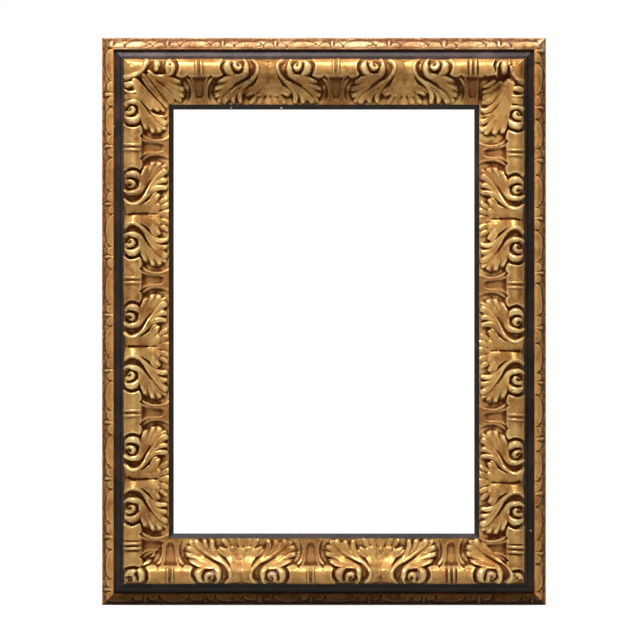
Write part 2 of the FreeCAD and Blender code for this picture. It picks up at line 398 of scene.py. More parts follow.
@dataclass(frozen=True)
class Gilding:
    """Water gilding over red clay, toned and rubbed with age, with painted shade darkening its hollows and
    painted highlight lightening its crests.
    """

    name: str = "aged_gold"
    leaf: Colour = (195, 147, 86)
    pale: Colour = (206, 164, 98)
    # colour of the crests: burnishing, and painted highlight
    burnish_and_highlight: Colour = (252, 224, 156)
    toned: Colour = (142, 88, 40)
    # colour of the hollows: toning, and painted shade
    recess_patina_and_shade: Colour = (82, 36, 10)
    sheen: Colour = (255, 214, 140)
    clay: Colour = (126, 62, 36)
    gesso: Colour = (222, 208, 184)
    primer: Colour = (196, 158, 136)
    rubbed: Colour = (112, 60, 28)
    clay_shown: float = 0.5
    wear: float = 0.7           # how far the worn places show what is under the gold
    patchy: float = 0.5         # how broken up they are
    metallic: float = 0.42
    bare_places: tuple[Spot, ...] = ()

    def make(self) -> Finish:
        """Mix the finish.

        Returns:
            The finish, which reads the fields hollow, crest and worn of its piece.
        """
        f = Finish(self.name)
        hollow, crest = f.attribute("hollow"), f.attribute("crest")
        cloud, fleck, patch = f.noise(0.016, 5.0, 0.62), f.noise(0.0035, 4.0, 0.6), f.noise(0.07, 3.0)
        # the leaf, toned in clouds, and lightened on the crests, which is partly burnishing and partly
        # painted highlight
        colour = f.mix(f.ramp(cloud, 0.32, 0.60, 0.15, 1.0), self.toned, self.leaf)
        colour = f.mix(f.ramp(f.noise(0.04, 4.0, 0.6), 0.45, 0.65, 0.0, 0.8), colour, self.pale)
        colour = f.mix(f.ramp(fleck, 0.52, 0.80, 0.0, 0.35), colour, self.burnish_and_highlight)
        colour = f.mix(f.ramp(patch, 0.45, 0.75, 0.0, 0.6), colour, self.toned)
        burnish_and_highlight_share = f.ramp(f.plus(crest, f.times(cloud, 0.6)), 0.48, 1.45, 0.0, 0.72)
        colour = f.mix(burnish_and_highlight_share, colour, self.burnish_and_highlight)
        # the darkening of the hollows, which is partly toning and partly painted shade, the clay, chips down
        # to the gesso, and worn places
        dark = f.ramp(f.plus(hollow, f.times(fleck, 0.4)), 0.30, 1.0)
        rubbed = f.plus(f.times(crest, 0.10), f.plus(f.times(fleck, 0.5), f.times(patch, 0.55)))
        clay = f.ramp(rubbed, 0.64 - 0.08 * self.clay_shown, 0.76)
        chip = f.ramp(f.plus(f.noise(0.009, 2.0, 0.5), f.times(crest, 0.06)), 0.795, 0.81)
        broken = f.ramp(f.plus(f.times(cloud, 0.6), f.times(fleck, 0.5)), 0.42, 0.62, 1 - self.patchy, 1.0)
        worn = f.times(f.times(f.attribute("worn"), broken), self.wear)
        colour = f.mix(dark, colour, self.recess_patina_and_shade)
        colour = f.mix(worn, colour, self.rubbed)
        colour = f.mix(f.times(clay, 0.6), colour, self.clay)
        colour = f.mix(chip, colour, self.gesso)
        bare = f.most(f.most(clay, chip), f.most(dark, worn))
        if self.bare_places:
            lost = f.ramp(f.plus(f.spots(self.bare_places), f.times(fleck, 1.4)), 0.95, 1.45, 0.0, 0.65)
            colour = f.mix(lost, colour, self.primer)
            bare = f.most(bare, lost)
        f.shade("Base Color", colour)
        f.shade("Specular Tint", self.sheen)
        f.shade("Specular IOR Level", 0.4)
        f.shade("Metallic", f.ramp(bare, 0.0, 1.0, self.metallic, 0.05))
        rough = f.ramp(f.plus(f.times(fleck, 0.5), f.times(bare, 0.6)), 0.1, 0.9, 0.37, 0.68)
        f.shade("Roughness", f.combine("SUBTRACT", rough, f.times(burnish_and_highlight_share, 0.14)))
        grain = f.bump(fleck, 0.3, 0.0006)
        f.shade("Normal", f.bump(f.ramp(f.cracks(0.011), 0.0, 0.03), 0.12, 0.0003, grain))
        return f


@dataclass(frozen=True)
class BlackPaint:
    """Black paint over red clay, dusty and rubbed along its edges."""

    name: str = "black_paint"
    paint: Colour = (32, 25, 21)
    dust: Colour = (62, 50, 42)
    clay: Colour = (116, 42, 34)
    chip: Colour = (216, 206, 190)
    worn_lines: tuple[float, ...] = ()          # inward
    chips: tuple[Spot, ...] = ()

    def make(self) -> Finish:
        """Mix the finish.

        Returns:
            The finish.
        """
        f = Finish(self.name)
        cloud, fleck = f.noise(0.05, 5.0, 0.6), f.noise(0.006, 4.0, 0.6)
        colour = f.mix(f.ramp(cloud, 0.42, 0.75, 0.0, 0.6), self.paint, self.dust)
        worn = f.ramp(f.plus(f.times(cloud, 0.5), f.times(fleck, 0.6)), 0.66, 0.74)
        broken = f.ramp(f.plus(cloud, f.times(fleck, 0.4)), 0.62, 0.84)
        for line in self.worn_lines:
            away = f.combine("ABSOLUTE", f.combine("SUBTRACT", f.rim(), line * MM), 0.0)
            worn = f.most(worn, f.times(f.ramp(away, 0.0005, 0.0020, 1.0, 0.0), broken))
        colour = f.mix(f.times(worn, 0.75), colour, self.clay)
        chip = f.ramp(f.noise(0.012, 2.0), 0.80, 0.815)
        if self.chips:
            chip = f.most(chip, f.ramp(f.plus(f.spots(self.chips), f.times(fleck, 0.8)), 0.85, 0.95))
        f.shade("Base Color", f.mix(chip, colour, self.chip))
        f.shade("Roughness", f.ramp(fleck, 0.2, 0.8, 0.38, 0.6))
        f.shade("Specular IOR Level", 0.25)
        f.shade("Normal", f.bump(fleck, 0.25, 0.0004))
        return f


@dataclass(frozen=True)
class Timber:
    """Bare softwood, browned by age, with its grain along one axis."""

    name: str
    grain: tuple[float, float, float]           # stretch of the places, small along the grain
    light: Colour = (168, 126, 82)
    dark: Colour = (98, 64, 38)
    dirt: Colour = (74, 56, 42)

    def make(self) -> Finish:
        """Mix the finish.

        Returns:
            The finish.
        """
        f = Finish(self.name)
        along = f.stretched(self.grain)
        lines, fibres = f.noise(0.006, 4.0, 0.6, along), f.noise(0.0014, 3.0, 0.6, along)
        rings = f.noise(0.03, 3.0, 0.5, along)
        colour = f.mix(f.ramp(lines, 0.30, 0.70, 0.25, 1.0), self.dark, self.light)
        colour = f.mix(f.ramp(fibres, 0.35, 0.75, 0.0, 0.35), colour, self.dark)
        colour = f.mix(f.ramp(rings, 0.40, 0.70, 0.0, 0.35), colour, self.dark)
        colour = f.mix(f.ramp(f.noise(0.12, 4.0), 0.5, 0.8, 0.0, 0.5), colour, self.dirt)
        f.shade("Base Color", colour)
        f.shade("Roughness", 0.78)
        f.shade("Normal", f.bump(f.plus(lines, fibres), 0.35, 0.0006))
        return f


@dataclass(frozen=True)
class Metal:
    """Bare metal with a skin of tarnish or rust."""

    name: str
    clean: Colour
    stained: Colour
    smooth: float = 0.35
    shine: float = 1.0

    def make(self) -> Finish:
        """Mix the finish.

        Returns:
            The finish.
        """
        f = Finish(self.name)
        cloud, fleck = f.noise(0.01, 4.0, 0.6), f.noise(0.0012, 3.0)
        stain = f.ramp(f.plus(f.times(cloud, 0.7), f.times(fleck, 0.3)), 0.30, 0.75)
        f.shade("Base Color", f.mix(stain, self.clean, self.stained))
        f.shade("Metallic", f.ramp(stain, 0.0, 1.0, self.shine, self.shine * 0.6))
        f.shade("Roughness", f.ramp(stain, 0.0, 1.0, self.smooth, self.smooth + 0.3))
        f.shade("Normal", f.bump(fleck, 0.2, 0.0002))
        return f


@dataclass(frozen=True)
class Drift:
    """A slow random wander, which a hand-carved repeat shows from one unit to the next."""

    wavelength: float
    seed: int
    cells: int = 96             # of the table that it reads
    middle: float = 40.0        # cell of the rail's end, far enough in for places before it

    def at(self, x: Array, y: Array) -> Array:
        """Read the wander.

        Args:
            x: places along, in mm.
            y: places across, in mm.

        Returns:
            The wander at each place, about -1 to 1.
        """
        table = np.random.default_rng(self.seed).uniform(-1.0, 1.0, (self.cells, self.cells))
        u, v = x / self.wavelength + self.middle, y / self.wavelength + self.middle
        i, j = np.floor(u).astype(int), np.floor(v).astype(int)
        p, q = eased(u - i, 0, 1), eased(v - j, 0, 1)
        return between(table, i % (self.cells - 1), j % (self.cells - 1), p, q)


@dataclass(frozen=True)
class Ribbon:
    """A raised form that follows a curve: a leaf lobe, a scroll's ridge or a bead.

    Each point of the path is (x, y, half width, height), in mm.
    """

    path: Path
    crown: float = 0.7          # how much the middle stands over the edges
    skirt: float = 1.2          # width over which the edge drops away
    lean: float = 0.0           # how much the right-hand edge stands over the left-hand one

    def heights(self, across: Array, past: Array, half: Array, height: Array, ground: Array) -> Array:
        """Shape the form.

        Args:
            across: place across the ribbon, -1 to 1.
            past: place past its end, 0 on the path and 1 at the end of its round tip.
            half: half width in mm.
            height: height of the path in mm.
            ground: height that the edge drops to.

        Returns:
            The height at each place.
        """
        radius = np.sqrt(across ** 2 + past ** 2)
        body = height + self.crown * (1 - radius ** 2) + self.lean * across
        edge = np.clip((1 - radius) * half / min(self.skirt, float(half.max())), 0, 1)
        return ground + (body - ground) * np.sqrt(1 - (1 - edge) ** 2)


@dataclass(frozen=True)
class Groove:
    """A cut that follows a curve. Each point of the path is (x, y, half width, depth), in mm."""

    path: Path
    bluntness: float = 0.8      # below 1 the cut is fuller than a round one
    bite: float = 0.4           # how far it may cut into the ground

    def depths(self, across: Array, past: Array, depth: Array) -> Array:
        """Shape the cut, from places across it and past its end, and the depth of its path."""
        return depth * np.clip(1 - across ** 2 - past ** 2, 0, 1) ** self.bluntness


Forms = tuple[Ribbon | Groove, ...]


@dataclass
class Panel:
    """A field of carving, kept as heights over the plain moulding, in mm."""

    low: tuple[float, float]
    high: tuple[float, float]
    cell: float = 0.3
    filling: float = 0.55       # spacing of the places that fill a form, in cells
    heights: Array = field(init=False)
    x: Array = field(init=False)
    y: Array = field(init=False)

    def __post_init__(self) -> None:
        """Lay out the cells."""
        self.x, self.y = np.meshgrid(np.arange(self.low[0], self.high[0], self.cell),
                                     np.arange(self.low[1], self.high[1], self.cell), indexing="ij")
        self.heights = np.zeros_like(self.x)

    def stamp(self, places: Array, values: Array, onto: Array) -> None:
        """Raise the cells under places, where the values stand higher.

        Args:
            places: the places.
            values: one value for each.
            onto: the field to raise.
        """
        cells = np.round((places - np.array(self.low)) / self.cell).astype(int)
        inside = np.all((cells >= 0) & (cells < self.x.shape), axis=1)
        flat = cells[inside, 0] * self.x.shape[1] + cells[inside, 1]
        np.maximum.at(onto.reshape(-1), flat, values[inside])

    def swept(self, path: Array) -> tuple[Array, Array, Array, Array, Array]:
        """Fill the strip that follows a path, with round ends.

        Args:
            path: points of the path, as a ribbon or a groove has them.

        Returns:
            Places, then for each: share across, share past the end, half width, and the path's value.
        """
        fine = self.filling * self.cell
        line = spline(path, fine)
        run = np.gradient(line[:, :2], axis=0)
        run /= np.linalg.norm(run, axis=1, keepdims=True) + 1e-9
        normal = np.column_stack([run[:, 1], -run[:, 0]])
        count = int(line[:, 2].max() * 2 / fine) + 3
        across = np.linspace(-1, 1, count)
        places = line[:, None, :2] + normal[:, None] * across[None, :, None] * line[:, None, 2:3]
        rows = [(places.reshape(-1, 2), np.tile(across, len(line)), np.zeros(len(line) * count),
                 np.repeat(line[:, 2], count), np.repeat(line[:, 3], count))]
        for end, sign in ((0, -1), (-1, 1)):
            half = line[end, 2]
            steps = np.arange(-half, half + fine, fine)
            side, ahead = np.meshgrid(steps, steps[steps >= 0])
            keep = np.hypot(side, ahead) <= half
            side, ahead = side[keep], ahead[keep]
            rows.append((line[end, :2] + normal[end] * side[:, None] + sign * run[end] * ahead[:, None],
                         side / half, ahead / half, np.full(len(side), half),
                         np.full(len(side), line[end, 3])))
        return tuple(np.concatenate(column) for column in zip(*rows))

    def carve(self, forms: Forms, ground: Array) -> None:
        """Raise the ribbons and cut the grooves, in order.

        Args:
            forms: ribbons and grooves.
            ground: lowest heights of the field, which the ribbons' edges drop to.
        """
        for form in forms:
            places, across, past, half, value = self.swept(np.array(form.path, float))
            if isinstance(form, Ribbon):
                floor = self.sample(places, ground)
                self.stamp(places, form.heights(across, past, half, value, floor), self.heights)
            else:
                depth = np.zeros_like(self.heights)
                self.stamp(places, form.depths(across, past, value), depth)
                deepest = np.minimum(self.heights, ground - form.bite)
                self.heights = np.maximum(self.heights - depth, deepest)

    def sample(self, places: Array, values: Array) -> Array:
        """Read a field between its cells.

        Args:
            places: the places.
            values: the field, one value per cell.

        Returns:
            The value at each place.
        """
        u = np.clip((places - np.array(self.low)) / self.cell, 0, np.array(self.x.shape) - 1.001)
        cell = u.astype(int)
        return between(values, *cell.T, *(u - cell).T)

    def finish(self) -> None:
        """Soften the tool's edges under the gesso."""
        self.heights = softened(self.heights, 0.6 / self.cell)


def roll_height(v: Array) -> Array:
    """Give the height of the round roll, v mm from its outer edge."""
    return ROLL_AXIS + np.sqrt(np.clip(ROLL_RADIUS ** 2 - (v - ROLL_RADIUS) ** 2, 0.0, None))


def bed_height(v: Array) -> Array:
    """Give the height of the hollow leaf bed."""
    share = np.clip((v - ROLL) / BED, 0.0, 1.0)
    return BED_TOP - (BED_TOP - BED_LOW) * share - 4 * BED_HOLLOW * share * (1 - share)


def leaf_height(v: Array) -> Array:
    """Give the height of the surface that the leaves are cut from, which flows from the roll into the bed.

    Args:
        v: places in from the roll's outer edge.

    Returns:
        The height at each place.
    """
    leaves = 25.0               # where the surface leaves the roll
    roll = np.where(v > leaves, roll_height(leaves) - (v - leaves) * 1.35, roll_height(v))
    bed = bed_height(v)
    share = np.clip(0.5 + 0.5 * (roll - bed) / 9.0, 0, 1)
    return bed * (1 - share) + roll * share + 4.5 * share * (1 - share) * eased(v, 12, 24)


def ground_height(v: Array) -> Array:
    """Give the height of the ground between the leaves.

    Args:
        v: places in from the roll's outer edge.

    Returns:
        The height at each place.
    """
    roll = roll_height(np.minimum(v, 24.0)) - 6.6
    bed = bed_height(v) - 3.4 + 2.6 * eased(v, 54, 73)
    return roll + (bed - roll) * eased(v, 21.0, 33.0)


@dataclass(frozen=True)
class HalfUnit:
    """One half of the repeating carving, from a collar (s = 0) to the waist (s = 110).

    Its places are (s, v): s along the rail from the collar, v inwards from the roll's outer edge.
    """

    waist: float = 110.0
    scroll: Forms = (
        # bulb at the head of the scroll
        Ribbon(((49.4, 3.0, 4.8, -1.0), (45.6, 8.6, 6.4, 0.6), (45.0, 16, 7.2, 1.2), (47.8, 22.6, 6.2, 0.4),
                (52.4, 26.4, 4.6, -0.6)), 2.0, 5.0),
        # the leaf's half beside the roll, and its tips
        Ribbon(((70, 28.5, 6.0, -0.5), (61, 31.5, 8.0, -0.3), (51, 36, 10.5, 0.0), (43, 42.5, 12.8, 0.4),
                (37, 49, 13.5, 1.0), (35, 54, 12.5, 1.2)), 1.2, 5.0),
        Ribbon(((56, 32.0, 6.4, -0.5), (45, 33.6, 6.4, 0.3), (34, 36.0, 4.6, 2.0)), 0.9, 4.0, 0.5),
        Ribbon(((50, 40, 6.5, 0.4), (36, 45.2, 5.6, 1.8), (28, 47.4, 4.6, 2.9)), 0.9, 2.8, 0.6),
        Ribbon(((50, 46, 6.5, 0.5), (37, 54.4, 5.8, 2.0), (29, 59.0, 4.8, 3.1)), 0.9, 2.8, 0.6),
        Ribbon(((48, 51, 5.0, 0.6), (38, 60.5, 4.6, 2.0), (32, 67.5, 3.8, 2.8)), 0.8, 2.4, 0.3),
        # the band that winds down round the knob
        Ribbon(((58, 32, 4.6, -0.4), (66, 30.8, 5.4, 0.0), (72.8, 25.6, 5.8, 0.5), (75.6, 17, 5.6, 0.8),
                (75.0, 8, 5.2, 0.6), (72, 0, 4.6, 0.0)), 1.3, 4.6),
        # channel between the two ridges
        Ribbon(((83, -1, 5.2, -3.8), (86, 7, 4.8, -3.8), (86.6, 14, 4.6, -3.8), (84.6, 22, 4.2, -3.6),
                (80.5, 28.6, 3.6, -3.2), (74, 34, 3, -2.8), (64, 40, 2.6, -2.4)), -1.4),
    )
    vein: Forms = (
        Groove(((68, 29.6, 0.8, 0.3), (56, 34.6, 1.1, 0.7), (44, 38.2, 1.1, 0.7), (35, 39.6, 0.8, 0.4))),
        Groove(((63, 34.6, 0.8, 0.3), (52, 40.6, 1.1, 0.8), (42, 45.6, 1.1, 0.8), (32, 48.6, 0.8, 0.5))),
        Groove(((60, 38.4, 0.8, 0.3), (50, 45.4, 1.1, 0.8), (41, 51.8, 1.1, 0.8), (33, 57.6, 0.8, 0.5))),
        Groove(((83, 20, 1.8, 0.6), (79, 28.4, 2.2, 1.8), (70.5, 35.6, 2.3, 2.8), (58, 44.4, 2.1, 3.0),
                (45.5, 54, 1.9, 2.8), (37, 63, 1.6, 2.4), (32, 70.5, 1.5, 2.2))),
        Groove(((22, 41.6, 3.0, 4.4), (30, 41.2, 2.4, 3.4), (37, 40, 1.5, 1.4), (46, 38, 1.2, 0.4))),
        Groove(((20, 53.6, 2.0, 3.6), (27, 53.0, 1.8, 2.4), (35, 49.8, 1.4, 1.1), (46, 43.6, 1.2, 0.4))),
        Groove(((24, 65.4, 1.8, 2.6), (33, 60.4, 1.3, 1.2), (44, 51.4, 1.0, 0.5))),
    )
    leaf: Forms = (
        # outer ridge, which turns into the rib beside the vein
        Ribbon(((86.0, -1, 3.2, -0.4), (92.4, 7, 3.6, 0.3), (94.6, 14.5, 4.0, 0.6), (93.2, 22, 4.0, 0.6),
                (88.6, 29, 4.0, 0.8), (81.4, 35.6, 4.6, 1.0), (72.6, 41.6, 6.0, 1.2), (63, 48.6, 7.4, 1.4),
                (53.4, 55.8, 8.4, 2.0), (45, 62.6, 7.8, 2.7), (40.6, 66.6, 6.6, 3.0)), 1.6, 4.2, -0.2),
        Ribbon(((74, 42, 4.4, 0.8), (66, 49, 6.0, 1.1), (58.6, 56.6, 6.2, 2.0), (55, 63, 5.4, 2.7),
                (54.6, 67.6, 4.4, 2.6)), 1.1, 3.2, -0.3),
        Ribbon(((80, 38.6, 3.4, 1.0), (73.4, 44.4, 4.6, 1.6), (68.0, 52, 5.2, 2.8), (65.6, 60, 5.0, 3.4),
                (66.4, 68.6, 4.0, 3.0)), 1.4, 2.8, -0.5),
        Groove(((58, 54, 1.2, 0.6), (51.5, 61, 1.6, 1.5), (47.6, 67, 2.4, 2.8), (46.6, 72, 2.8, 3.6))),
        Groove(((70, 47, 1.0, 0.4), (63, 55, 1.3, 1.0), (60.2, 63, 1.7, 2.0), (59.8, 72, 2.0, 3.0))),
        Groove(((79, 36.8, 1.0, 0.5), (66, 45.6, 1.2, 0.8), (53, 55.4, 1.2, 0.9), (44, 63, 1.0, 0.6))),
        Groove(((90.6, 5, 0.9, 0.4), (94.6, 14.5, 1.0, 0.9), (92.6, 23, 0.9, 0.5))),
        Groove(((66, 43.4, 0.8, 0.3), (58, 51.0, 1.1, 0.8), (51, 58.4, 1.1, 0.9), (45.6, 65, 0.9, 0.6))),
        Groove(((74, 44.6, 0.7, 0.3), (69.6, 51, 1.0, 0.7), (66.8, 58.6, 1.0, 0.8), (66.6, 67, 0.8, 0.5))),
    )
    shell: Forms = (
        # the tip that curls over in the hollow, and the lobes beside it
        Ribbon(((96, 44.0, 6.0, -1.6), (88, 49.6, 7.0, 0.6), (82.4, 54.0, 5.4, 2.0),
                (78.4, 57.4, 3.6, 2.6)), 1.4, 3.6, 0.4),
        Ribbon(((107, 46, 6.0, -3.0), (100, 52.4, 6.6, -0.6), (96.0, 57.0, 4.8, 0.8)), 1.2, 3.2, 0.3),
        Ribbon(((86.6, 44.6, 2.6, 0.4), (81.6, 46.8, 3.0, 1.2), (77.4, 50.2, 3.0, 1.8),
                (74.6, 54.2, 2.4, 1.6)), 0.9, 2.2),
        # the fringe along the sight
        Ribbon(((90, 60.4, 4.4, -1.4), (87.2, 66, 4.6, 0.0), (83.6, 70.4, 3.6, 0.9)), 1.1, 2.8, 0.3),
        Ribbon(((99, 61.6, 5.0, -1.8), (97.6, 67, 5.2, -0.4), (95.6, 72.0, 4.2, 0.5)), 1.1, 2.8, 0.3),
        Ribbon(((110, 62.4, 5.4, -2.2), (109, 68, 5.6, -0.8), (108.4, 73, 4.6, 0.1)), 1.1, 2.8, 0.3),
    )
    knob: Forms = (
        Ribbon(((58, 6.0, 6.2, -2.8), (62, 12.0, 7.8, -2.6), (64, 18, 6.4, -2.6)), 0.3, 3.0),
        # the curl in the scroll's eye, and the dark hollow under it
        Ribbon(((58.6, 3.4, 3.0, -1.2), (56.8, 9.2, 4.0, -0.2), (59.4, 15.6, 4.6, 0.3),
                (65.2, 15.8, 4.4, -0.3), (67.4, 11.6, 2.8, -1.2)), 1.6, 3.2),
        Ribbon(((51, 2.6, 4.2, -1.2), (57, 2.2, 3.8, -1.6)), 0.6, 2.6),
        Groove(((52.6, 2.4, 1.2, 1.4), (50.9, 9.2, 1.6, 2.6), (52.4, 16.0, 1.9, 3.0),
                (56.8, 21.2, 2.2, 3.2), (63.4, 22.6, 2.4, 3.2), (69.0, 18.6, 2.2, 2.8))),
        Groove(((66.0, 1.0, 3.0, 3.6), (70.0, 4.4, 3.6, 4.6), (71.2, 9.4, 3.0, 4.0),
                (69.6, 14.0, 1.8, 2.2))),
        Groove(((61.6, 5.0, 1.6, 1.6), (62.4, 9.6, 1.8, 2.0), (63.6, 12.2, 1.3, 1.2))),
    )
    tongue: Forms = (
        Ribbon(((14.0, 29, 1.8, -0.4), (10.4, 36, 2.2, 0.1), (8.8, 45, 2.5, 0.4), (8.4, 55, 2.6, 0.5),
                (7.2, 62.5, 2.6, 0.6), (4.2, 67.4, 2.4, 0.6), (0, 69.0, 2.4, 0.6), (-4.2, 67.4, 2.4, 0.6)),
               0.9, 2.6),
    )

    def arch(self, v: Array) -> Array:
        """Tell how far from the collar the plain roll ends."""
        return 33.4 + 5.5 * (np.abs(v - 14) / 14) ** 2.2

    def roll_edge(self, s: Array) -> Array:
        """Draw the inner edge of the plain roll, a zigzag lip."""
        return np.interp(s, [0, 6, 12, 16, 19, 21, 25, 30, 34, 38, 40],
                         [30.5, 31, 31.4, 29.8, 26.4, 29.6, 31.6, 31.4, 29.6, 26, 24])

    def strip_edge(self, v: Array) -> Array:
        """Draw the outer edge of the strip that runs beside the tongue."""
        return np.interp(v, [28, 33, 38, 44, 50, 56, 62, 68, 74],
                         [26.0, 21.6, 17.6, 14.8, 13.6, 13.4, 14.2, 16.4, 19.6])

    def slope(self, s: Array, v: Array) -> Array:
        """Shape the roll where it falls into the waist.

        Args:
            s: places along the rail.
            v: places inwards.

        Returns:
            The height at each place.
        """
        fall = np.clip((s - 92.0) / 19.0, 0, 1.15)
        return (0.2 - 7.0 * fall ** 1.15 - 1.2 * eased(v, 20, 34)
                - 1.6 * fall * np.clip(1 - ((v - 14) / 14) ** 2, 0, 1))

    def fan(self, s: Array, v: Array, slope: Array) -> tuple[Array, Array]:
        """Shape the fan of the shell, which the slope opens into.

        Args:
            s: places along the rail.
            v: places inwards.
            slope: height of the slope.

        Returns:
            The fan's height, and its share of each place.
        """
        side = np.interp(v, [20, 24, 30, 36, 42, 48, 52, 56, 60],
                         [93.5, 94.0, 93.0, 90, 86, 81.4, 79.0, 79.4, 82])
        foot = np.interp(s, [76, 79, 82, 85, 88.5, 92, 95.5, 99, 102.5, 106, 112],
                         [54, 58.4, 59.8, 55.0, 57.6, 60.6, 56.8, 59.6, 61.6, 58.4, 61.6])
        lip = 1.4 - 2.6 * np.clip((s - 78) / 32, 0, 1)
        spread = np.arctan2(112.5 - s, np.clip(v - 4, 1, None))
        flutes = 0.55 * np.cos(27 * spread) * eased(v, 30, 50)
        belly = 1.5 * bell(s - 98, 8) * bell(v - 43, 10)
        rim = 0.9 * bell(s - side - 1.8, 1.3) * eased(v, 30, 38)
        body = slope + (lip - slope) * eased(v, 25, 57) + flutes + belly + rim
        return body, eased(s - side, -0.8, 1.2) * (1 - eased(v - foot, -1.0, 1.0)) * (v > 21)

    def strip(self, s: Array, v: Array, ground: Array) -> tuple[Array, Array]:
        """Shape the strip under the tongue, with its raised edges and its sunk middle.

        Args:
            s: places along the rail.
            v: places inwards.
            ground: height of the ground beside it.

        Returns:
            The strip's height, and whether each place lies on it.
        """
        edge = self.strip_edge(v)
        across = np.clip(np.abs(s) / edge, 0, 1.2)
        body = bed_height(v) - leaf_height(v) + 0.5 + 1.0 * bell(across - 0.86, 0.12)
        body = ground + (body - ground) * (1 - eased(across, 0.96, 1.06))
        middle = (1 - eased(np.abs(s), 4.6, 8.6)) * (1 - eased(v, 61.0, 67.0))
        body = body - (2.0 + 0.6 * eased(v, 32, 62)) * middle
        return np.maximum(body, ground), (np.abs(s) < edge * 1.05) & (v > 28)

    def plain_roll(self, s: Array, v: Array) -> tuple[Array, Array]:
        """Shape the roll that stays plain beside the collar, with its turned lip.

        Args:
            s: places along the rail.
            v: places inwards.

        Returns:
            The roll's height, and its share of each place.
        """
        edge, end, away = self.roll_edge(np.abs(s)), self.arch(v), np.abs(s)
        body = roll_height(v) - leaf_height(v)
        body = body + 1.3 * bell(v - edge + 1.6, 1.3) * eased(away, 4, 9)
        body = body + 0.5 * bell(away - end + 1.4, 1.3)
        return body, (1 - eased(v, edge - 0.6, edge + 0.6)) * (1 - eased(away, end - 0.5, end + 0.7))

    def panel(self) -> Panel:
        """Carve the half unit.

        Returns:
            Its field of carving.
        """
        panel = Panel((-14.0, -1.0), (124.0, 75.0))
        s, v = panel.x, panel.y
        ground = ground_height(v) - leaf_height(v)
        slope = self.slope(s, v)
        on_slope = (s > 91.8 - 7.8 * (np.abs(v - 15) / 15) ** 2.4) & (v < 24)
        panel.heights = np.where(on_slope, slope, ground)
        body, cover = self.fan(s, v, slope)
        panel.heights += (body - panel.heights) * cover
        for forms in (self.shell, self.scroll, self.vein, self.leaf, self.knob):
            panel.carve(forms, ground)
        body, on_strip = self.strip(s, v, ground)
        panel.heights = np.where(on_strip, body, panel.heights)
        panel.carve(self.tongue, ground)
        body, cover = self.plain_roll(s, v)
        panel.heights += (body - panel.heights) * cover
        panel.finish()
        return panel


